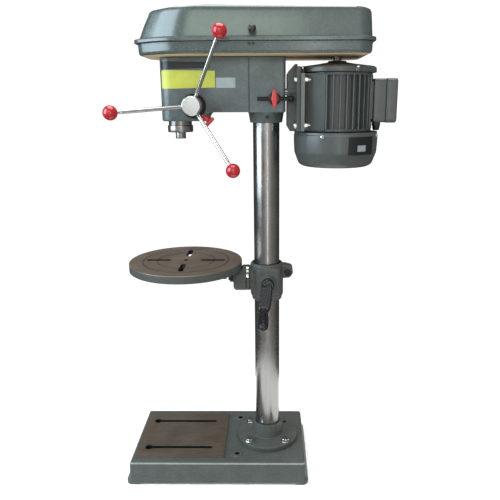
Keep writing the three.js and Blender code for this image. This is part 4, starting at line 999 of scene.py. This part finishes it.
def fan_cover():
    low, high = span("fan_cover")
    radius, wall = 101.5, 2.2
    at = (MOTOR_X, 0, 0)
    profile = [(22, low.z, 0.8), (radius - 14, low.z, 18), (radius - 1.5, low.z + 34, 18), (radius, low.z + 60),
               (radius, high.z - 7, 0.5), (radius - 1.2, high.z - 5.5, 0.5), (radius - 1.2, high.z, 0.6),
               (radius - wall - 1, high.z, 0.4), (radius - wall - 1.2, low.z + 35, 16),
               (radius - 16, low.z + wall, 16), (22, low.z + wall, 0.6)]
    cover = lathe("fan_cover_shell", profile, 112, at=at, steps=8)
    vents = []
    for reach, count in ((40, 12), (60, 18)):
        for i in range(count):
            vent = rounded_rect(reach - 6, reach + 6, -2.4, 2.4, 2.3, steps=4)
            vent = prism("vent", vent, low.z - 5, low.z + 6, 0.2)
            vents.append(moved(vent, *at, spin(360 * i / count)))
    cover = cut(cover, merge("vents", vents))
    done(cover, "motor_carriage", "motor_paint", "motor", "fan_cover", angle=26)
    start = Vector((MOTOR_X, 0, high.z - 9))
    for index, angle in enumerate((247, 337, 67, 157), 1):
        way = Vector((math.cos(math.radians(angle)), math.sin(math.radians(angle)), 0))
        screw = [(0, -2), (4.8, -2), (4.8, 0.5, 0.6), (4.2, 2.1, 1.2), (0, 2.6)]
        screw = lathe(f"cover_screw_{index}", screw, 32)
        aim(screw, start + way * (radius - 0.2), start + way * (radius + 4))
        done(screw, "motor_carriage", "bright_steel", "zinc")
    bent_plate("motor_plate", radius + 0.1, -78.5, -38, 846, 887, 0.6, "black_plate")
    bent_plate("motor_plate_panel", radius + 0.6, -66, -53, 854, 868, 0.5, "pale_plate")


def bent_plate(name, radius, start, end, low, high, thick, finish):
    """A blank plate bent round the motor between two angles."""
    rings = []
    count = 16
    for i in range(count + 1):
        a = math.radians(start + (end - start) * i / count)
        c, s = math.cos(a), math.sin(a)
        near, far = radius, radius + thick
        rings.append([(MOTOR_X + near * c, near * s, low), (MOTOR_X + far * c, far * s, low),
                      (MOTOR_X + far * c, far * s, high), (MOTOR_X + near * c, near * s, high)])
    done(loft(name, rings), "motor_carriage", "black_plastic", finish)


def motor_inside():
    at = (MOTOR_X, 0, 0)
    low, high = span("stator")
    ring = turned_ring("stator_ring", 43, 64.8, low.z, high.z, (1, 1), at=at)
    done(ring, "motor_carriage", "bronze", "bronze", "stator")
    bearing("motor_bearing", 9.9, 19.8, MOTOR_X, "motor_carriage", 0.4)
    low, high = span("rotor")
    shaft = [(0, low.z), (9.4, low.z, 1), (9.4, 932), (42, 932, 1), (42, 1000, 1), (9.4, 1000),
             (9.4, high.z, 1), (0, high.z)]
    done(lathe("rotor_turned", shaft, 56, at=at), "motor_rotor", "bright_steel", "steel", "rotor")
    low, high = span("cooling_fan")
    hub = [(9.9, low.z, 0.3), (23, low.z, 1), (23, high.z - 4, 1), (81, high.z - 4, 0.8), (81, high.z, 0.8),
           (9.9, high.z, 0.3)]
    blades = [moved(box("blade", 21, 80, -1.4, 1.4, low.z + 5, high.z - 2, 0.5), *at, spin(360 * i / 7))
              for i in range(7)]
    fan = join(lathe("hub", hub, 72, at=at), *blades)
    done(fan, "motor_rotor", "black_plastic", "black", "cooling_fan")


def terminal_box():
    for node, name, corner, edge in (("terminal_box", "terminal_box_shell", 6, 2.0),
                                     ("terminal_cover", "terminal_lid", 9, 5.0)):
        low, high = span(node)
        outline = rounded_rect(low.z, high.z, low.y, high.y, corner, steps=6)
        # drawn in (-z, y) so that the X turn brings it upright
        flipped = [(-z, y) for z, y in outline][::-1]
        shell = prism(name, flipped, low.x, high.x, edge, axis="x", steps=5)
        done(shell, "motor_carriage", "motor_paint", "motor", node)
    low, high = span("cable_gland")
    nut = hex_body("nut", 18, high.z - 8, high.z, 0.8)
    dome = [(4, low.z + 0.5, 0.6), (7.5, low.z, 2), (9.3, high.z - 9, 0.5), (9.3, high.z - 7.5), (4, high.z - 7.5)]
    gland = moved(merge("cable_gland_piece", [nut, lathe("dome", dome, 40)]), middle("cable_gland").x)
    done(gland, "motor_carriage", "black_plastic", "black", "cable_gland")


def motor_bracket():
    low, high = span("motor_bracket")
    plate_low = 71.0
    plate = box("bracket", plate_low, high.x, low.y, high.y, low.z, high.z - 6, 2)
    rib = fillet([(low.x, low.z + 10, 3), (low.x + 6, low.z, 2), (plate_low + 2, low.z), (plate_low + 2, high.z, 1),
                  (plate_low - 4, high.z, 2), (low.x, high.z - 18, 4)], 4, closed=True)
    ribs = []
    for side in (-1, 1):
        ribs.append(side_prism("rib", rib, side * 49 - 3, side * 49 + 3, 1))
        boss = [(0, 54), (11.3, 54, 1), (11.3, 73), (0, 73)]
        ribs.append(lathe("boss", boss, 40, "x", (0, side * ROD_Y, ROD_Z)))
    body = join(plate, *ribs)
    done(bevel(body, 0.8, 60, 2), "motor_carriage", "hammered_paint", "casting", "motor_bracket")
    for node in ("slide_rod_near", "slide_rod_far"):
        low, high = span(node)
        rod = [(0, low.x), (6.9, low.x, 1), (6.9, high.x), (0, high.x)]
        rod = lathe(f"{node}_turned", rod, 40, "x", (0, middle(node).y, ROD_Z))
        done(rod, "motor_carriage", "bright_steel", "steel", node)


def motor_bolts():
    for index in (1, 2, 3, 4):
        node = f"motor_bolt_{index}"
        low, high = span(node)
        nut_face = high.x - 15
        head = moved(hex_body("head", 13.0, 0, 7, 1), low.x + 7, turn=spin(-90, "Y"))
        washer = peg(8.6, 0, 1.4, 32, "x", (nut_face, 0, 0), 0.3)
        nut = moved(hex_body("nut", 13.0, 1.3, 8, 1), nut_face, turn=TURN["x"])
        shank = lathe("shank", [(0, low.x + 6), (4.1, low.x + 6), (4.1, high.x, 0.8), (0, high.x)], 24, "x")
        bolt = merge(f"motor_bolt_piece_{index}", [head, washer, nut, shank])
        moved(bolt, 0, middle(node).y, middle(node).z)
        done(bolt, "motor_carriage", "bright_steel", "zinc", node)


def tension_lever():
    at = (LEVER_X, 0, LEVER_Z)
    hub = lathe("hub", [(0, -68), (12.5, -68, 1.5), (14, -64, 1), (14, -54.8, 1), (0, -54.8)], 48, "y", at)
    bar = [(0, -40), (4.6, -40, 1.5), (4.6, -16, 0.5), (4.9, 0), (4.6, 16, 0.5), (4.6, 32), (0, 32)]
    bar = lathe("bar", bar, 32, "x", (LEVER_X, -63, LEVER_Z))
    end = ball("end", 7.5, (LEVER_X + 38, -63, LEVER_Z), 32)
    body = cut(join(hub, bar, end), peg(3.3, -90, -30, 24, "y", at))
    done(body, "tension_lever", "dark_steel", "dark_steel", "tension_lever")
    stud = lathe("stud", [(0, -80), (3, -80), (3, -46, 0.5), (0, -46)], 24, "y", at)
    hub = [(0, -88), (5, -88, 1.5), (8.2, -84, 1.5), (7.6, -70, 1), (0, -70)]
    hub = lathe("knob_hub", hub, 40, "y", at)
    wing = fillet([(-3.2, -19.5, 3), (3.2, -19.5, 3), (6.2, -6, 4), (6.2, 6, 4), (3.2, 19.5, 3), (-3.2, 19.5, 3),
                   (-6.2, 6, 4), (-6.2, -6, 4)], 5, closed=True)
    wings = side_prism("wings", [(x + LEVER_X, z + LEVER_Z) for x, z in wing], -94, -76, 2.6)
    knob = merge("tension_wing_knob", [join(hub, wings), stud])
    done(knob, "tension_lock", "red_plastic", "red_knob", "tension_lock_knob")


# ------------------------------------------------------------------ table


def table_bracket():
    low, high = span("table_bracket")
    sleeve, body_low, top, face = low.z, 482.0, high.z, low.x
    tilt = (0, 0, TILT_Z)
    barrel = lathe("bracket", [(0, sleeve), (38.6, sleeve, 1), (38.8, body_low - 8, 2), (42.5, body_low, 2),
                               (42.5, top - 5, 1), (39, top, 1), (0, top)], 96)
    boss = [(0, -60), (18, -60, 2), (19.5, -48), (21, -30), (0, -30)]
    boss = lathe("boss", boss, 56, "y", (CRANK_X, 0, CRANK_Z))
    cheek = prism("cheek", rounded_rect(-28, 34, -47.5, -20, 9, steps=6), 488, 558, 5)
    neck = [(0, face), (33.5, face, 1), (33.5, face + 7.5, 3), (30, face + 10, 4), (31, face + 34), (0, face + 34)]
    neck = lathe("neck", neck, 72, "x", tilt)
    lug = [(30, 523, 2), (60, 526, 8), (68, 538, 8), (66, 556, 9), (46, 561, 4), (30, 561, 2)]
    lug = fillet(lug, 6, closed=True)
    body = join(barrel, boss, cheek, neck, side_prism("lug", lug, -15, 15, 3))
    body = cut(body, peg(35.2, sleeve - 5, top + 5, 96), box("slit", 33, 80, -1.8, 1.8, sleeve - 5, top + 5, 0.2))
    done(cast(body, 1.1, 7, 0.3), "bracket", "hammered_paint", "casting", "table_bracket", angle=60)
    low, high = span("bracket_liner")
    liner = turned_ring("liner_bush", 32.9, 34.3, low.z, high.z, (0.3, 0.4), 96)
    done(liner, "liner", "bronze", "bronze", "bracket_liner")
    tilt_scale(face, tilt)


def tilt_scale(face, tilt):
    """A bright half ring with notches every five degrees of tilt."""
    profile = [(24, face - 0.1), (33.9, face - 0.1, 0.3), (33.9, face + 6.4, 0.3), (24, face + 6.4)]
    scale = lathe("tilt_scale", profile, 96, "x", tilt)
    marks = []
    for i in range(-9, 10):
        mark = box("mark", face + (1 if i % 3 else -0.5), face + 7, -0.35, 0.35, 33.3, 35, 0.05)
        marks.append(moved(mark, *tilt, spin(90 + 5 * i, "X")))
    below = box("below", face - 5, face + 12, -50, 50, TILT_Z - 60, TILT_Z + 9, 0.1)
    done(cut(scale, merge("marks", marks), below), "bracket", "bright_steel", "zinc", angle=40)


def bracket_bolts():
    x, z = middle("bracket_clamp_bolt").x, 541
    at = (x, 0, z)
    head = [(0, -22), (4, -22), (4, -25, 0.3), (7.8, -25, 1.2), (7.8, -15.4, 0.6), (0, -15.4)]
    head = lathe("head", head, 40, "y", at)
    shank = lathe("shank", [(0, -16), (4.9, -16), (4.9, 26, 0.8), (0, 26)], 24, "y", at)
    nut = moved(hex_body("nut", 15, 15.4, 24, 1), *at, TURN["y"])
    bolt = merge("clamp_bolt_piece", [head, shank, nut])
    done(bolt, "bracket", "dark_steel", "dark_steel", "bracket_clamp_bolt")
    low, high = span("tilt_bolt")
    shank = [(0, low.x), (7.9, low.x, 1), (7.9, high.x), (0, high.x)]
    shank = lathe("shank", shank, 32, "x", (0, 0, TILT_Z))
    nut = hex_body("nut", 22.4, -low.x - 13.7, -low.x - 4, 1.4)
    moved(nut, 0, 0, TILT_Z, spin(-90, "Y"))
    done(merge("tilt_bolt_piece", [shank, nut]), "bracket", "dark_steel", "dark_steel", "tilt_bolt")


def crank():
    low, high = span("clamp_crank")
    at = (CRANK_X, 0, CRANK_Z)
    grip_at = (middle("crank_grip").x, 0, middle("crank_grip").z)
    hub = [(0, -80), (9, -80, 1.5), (9.5, -78.4, 0.6), (14.8, -78.2, 2), (16.4, -73, 2), (16.4, -60.4, 1),
           (0, -60.4)]
    start, end = Vector(at) + Vector((0, -69, 0)), Vector(grip_at) + Vector((0, -118, 0))
    length = (end - start).length
    rings = []
    for share, wide, deep in ((0, 10, 5.5), (0.2, 13, 5.6), (0.55, 15.4, 5.2), (0.85, 15, 5), (1, 10.5, 4.8)):
        section = fillet([(-wide, -deep, 3), (wide, -deep, 3), (wide, deep, 3), (-wide, deep, 3)], 4, closed=True)
        rings.append([(x, y, share * length) for x, y in section])
    arm = aim(loft("arm", rings), start, end)
    eye = lathe("eye", [(0, -124), (10, -124, 1.5), (11, -120, 1.5), (11, -109, 2), (0, -108)], 48, "y", grip_at)
    body = cast(join(lathe("crank_hub", hub, 56, "y", at), arm, eye), 1.0, 3, 0.4)
    screw = lathe("screw", [(0, -63), (7.8, -63), (7.8, -35.2, 1), (0, -35.2)], 32, "y", at)
    pin = [(0, low.y), (5, low.y, 0.8), (7.6, low.y + 1.6, 0.8), (7.6, low.y + 3.4, 0.5), (4, low.y + 3.6),
           (4, -118), (0, -118)]
    piece = merge("crank_body", [body, screw, lathe("pin", pin, 32, "y", grip_at)])
    done(piece, "crank", "dark_steel", "crank", "clamp_crank", angle=45)
    low, high = span("crank_grip")
    back, front = high.y, low.y
    grip = [(4.5, back, 0.3), (9.6, back, 1), (11.2, back - 3, 1.5), (12, back - 20), (12.6, back - 45),
            (12.3, back - 70), (11.6, back - 86, 4), (8.8, front, 2), (4.5, front, 0.3)]
    grip = lathe("crank_handle_grip", grip, 56, "y", grip_at, steps=6)
    done(grip, "grip", "black_plastic", "crank", "crank_grip")


def table_arm():
    face, block = span("table_arm")[1].x, span("tilt_bolt")[0].x + 14
    nut_clear, screw_z = TILT_Z + 15, middle("table_lock_screw").z
    top, hub_low = span("work_table")[1].z - 20.6, screw_z - 15
    tilt, centre = (0, 0, TILT_Z), (SPINDLE_X, 0, 0)
    barrel = [(0, block), (29, block, 2), (33.5, block + 5, 3), (33.5, face, 1), (0, face)]
    barrel = cut(lathe("arm", barrel, 72, "x", tilt), box("trim", -400, -63, -60, 60, top, 700, 0.1))
    plan = fillet([(SPINDLE_X, -22), (block + 8, -29, 4), (block + 8, 29, 4), (SPINDLE_X, 22)], 4, closed=True)
    beam = prism("beam", plan, nut_clear, top, 1)
    rib = box("rib", SPINDLE_X, block - 18, -5, 5, hub_low + 3, nut_clear + 3, 1)
    hub = [(0, hub_low), (34, hub_low, 3), (36, hub_low + 7, 2), (36, top, 1), (0, top)]
    body = join(barrel, beam, rib, lathe("hub", hub, 72, at=centre))
    body = cut(body, peg(18.5, 480, 600, 64, at=centre), peg(8.6, -105, -40, 32, "x", tilt))
    done(cast(body, 1.2, 4, 0.4), "arm", "hammered_paint", "casting", "table_arm", angle=60)
    low, high = span("table_lock_screw")
    shank = [(0, high.y), (3.9, high.y, 0.5), (3.9, low.y + 6), (0, low.y + 6)]
    shank = lathe("shank", shank, 24, "y", (SPINDLE_X, 0, screw_z))
    head = moved(hex_body("head", 13.6, 0, 7, 1), SPINDLE_X, low.y + 7, screw_z, spin(90, "X"))
    done(merge("table_lock_piece", [shank, head]), "arm", "dark_steel", "dark_steel", "table_lock_screw")


def work_table():
    low, high = span("work_table")
    top, rim = high.z, high.z - 20
    groove, deep = 0.9, 1.6
    centre = (SPINDLE_X, 0, 0)
    profile = [(0, low.z), (17.9, low.z, 1), (17.9, rim + 8, 3), (131, rim + 8, 3), (135, rim, 2),
               (145, rim, 1.5), (145, top, 1.2)]
    for radius in (110.0, 73.5):
        profile += [(radius + groove, top), (radius + groove * 0.7, top - deep),
                    (radius - groove * 0.7, top - deep), (radius - groove, top)]
    profile.append((0, top))
    table = lathe("work_table_turned", profile, 160, at=centre)
    ribs = [moved(box("rib", -133, 133, -3.5, 3.5, rim + 1.5, rim + 9, 0.8), *centre, spin(angle))
            for angle in (45, 135)]
    table = join(table, *ribs)
    slot = rounded_rect(38, 102, -6.5, 6.5, 6.4, steps=6)
    slots = [moved(prism("slot", slot, rim - 5, top + 5, 0.2), *centre, spin(90 * i)) for i in range(4)]
    table = cut(table, peg(6.5, 480, 600, 40, at=centre), *slots)
    # the third finish, near black, is painted shade
    dress(table, "casting", "table_top", "black")
    for face in table.data.polygons:
        away = math.hypot(face.center.x - SPINDLE_X, face.center.y)
        if face.center.z > top - 0.1 or away > 140 and face.center.z > top - 1.3:
            face.material_index = 1
        # painted shade: within 120 mm of the centre, upright faces (slot and groove walls, the centre hole, the
        # ribs and hub under the table) and the groove floors get the near-black third finish
        elif away < 120 and (abs(face.normal.z) < 0.9 or face.center.z > top - 3):
            face.material_index = 2
    done(table, "table", "machined_iron", "table_top", "work_table", angle=30)


# ------------------------------------------------------------------ the machine

base()
flange_and_column()
flange_bolts()
head()
head_plates()
guard_tray()
guard_lid()
lid_knob()
quill()
drive()
feed()
depth_stop()
return_spring()
motor_frame()
motor_bell()
fan_cover()
motor_inside()
terminal_box()
motor_bracket()
motor_bolts()
tension_lever()
table_bracket()
bracket_bolts()
crank()
table_arm()
work_table()

# ------------------------------------------------------------------ floor, light and camera


def make_floor():
    floor = loft("floor", [[(x * 0.5, y * 0.5, z) for x, y in circle(1, 96)] for z in (-0.02, -0.0005)])
    dress(floor, "floor")


def area_light(name, location, target, size, power, colour=(1, 1, 1)):
    data = bpy.data.lights.new(name, "AREA")
    data.shape = "RECTANGLE"
    data.size, data.size_y = size
    data.energy = power
    data.color = colour
    light = bpy.data.objects.new(name, data)
    light.location = location
    light.rotation_mode = "QUATERNION"
    light.rotation_quaternion = (Vector(target) - Vector(location)).to_track_quat("-Z", "Y")
    bpy.context.scene.collection.objects.link(light)


def make_world():
    """A plain white room. Polished surfaces mirror a room that is bright on the near side and
    dark behind, which gives turned steel its dark edges."""
    world = bpy.data.worlds.new("studio")
    world.use_nodes = True
    tree = world.node_tree
    add, link = tree.nodes.new, tree.links.new
    plain = tree.nodes["Background"]
    plain.inputs["Color"].default_value = (1, 1, 1, 1)
    plain.inputs["Strength"].default_value = 1.08
    coordinates = add("ShaderNodeTexCoord")
    facing = add("ShaderNodeVectorMath")
    facing.operation = "DOT_PRODUCT"
    facing.inputs[1].default_value = (0.16, -0.98, 0.12)
    link(coordinates.outputs["Generated"], facing.inputs[0])
    share = add("ShaderNodeMapRange")
    share.inputs["From Min"].default_value = -1.0
    link(facing.outputs["Value"], share.inputs["Value"])
    tones = add("ShaderNodeValToRGB").color_ramp
    stops = ((0.0, 0.05), (0.45, 0.1), (0.75, 0.26), (0.9, 0.34), (0.955, 0.62), (1.0, 1.0))
    while len(tones.elements) < len(stops):
        tones.elements.new(0.5)
    for element, (position, level) in zip(tones.elements, stops):
        element.position = position
        element.color = (level, level, level, 1)
    ramp = next(n for n in tree.nodes if n.bl_idname == "ShaderNodeValToRGB")
    link(share.outputs["Result"], ramp.inputs["Fac"])
    mirrored = add("ShaderNodeBackground")
    link(ramp.outputs["Color"], mirrored.inputs["Color"])
    path = add("ShaderNodeLightPath")
    pick = add("ShaderNodeMixShader")
    link(path.outputs["Is Glossy Ray"], pick.inputs["Fac"])
    link(plain.outputs["Background"], pick.inputs[1])
    link(mirrored.outputs["Background"], pick.inputs[2])
    link(pick.outputs["Shader"], tree.nodes["World Output"].inputs["Surface"])
    bpy.context.scene.world = world


def make_light():
    make_world()
    area_light("window", (-2.3, -1.0, 1.7), (-0.1, 0, 1.1), (2.0, 2.4), 95, (0.72, 0.87, 1.0))
    area_light("front", (-0.35, -2.6, 1.95), (0, 0, 0.9), (1.3, 0.9), 9, (0.85, 1.0, 0.8))
    area_light("strip", (0.42, -2.4, 0.5), (0.03, 0.04, 0.5), (0.1, 2.2), 4)
    area_light("top", (0, 0.2, 3.2), (0, 0, 0), (2.4, 2.4), 80)


def make_camera():
    data = bpy.data.cameras.new("camera")
    data.sensor_width = 36
    data.lens = 40.65
    data.shift_x = -0.0302
    camera = bpy.data.objects.new("camera", data)
    forward = Vector((-0.01217, 0.96751, -0.25254)).normalized()
    right = forward.cross(Vector((0, 0, 1))).normalized()
    up = right.cross(forward)
    roll = math.radians(-0.29)
    across = right * math.cos(roll) + up * math.sin(roll)
    upward = across.cross(forward)
    camera.matrix_world = Matrix((
        (across.x, upward.x, -forward.x, AXIS.x + 0.0135),
        (across.y, upward.y, -forward.y, AXIS.y - 1.4101),
        (across.z, upward.z, -forward.z, 0.9646),
        (0, 0, 0, 1),
    ))
    bpy.context.scene.collection.objects.link(camera)
    bpy.context.scene.camera = camera


make_floor()
make_light()
make_camera()
bpy.context.scene.view_settings.view_transform = "Standard"
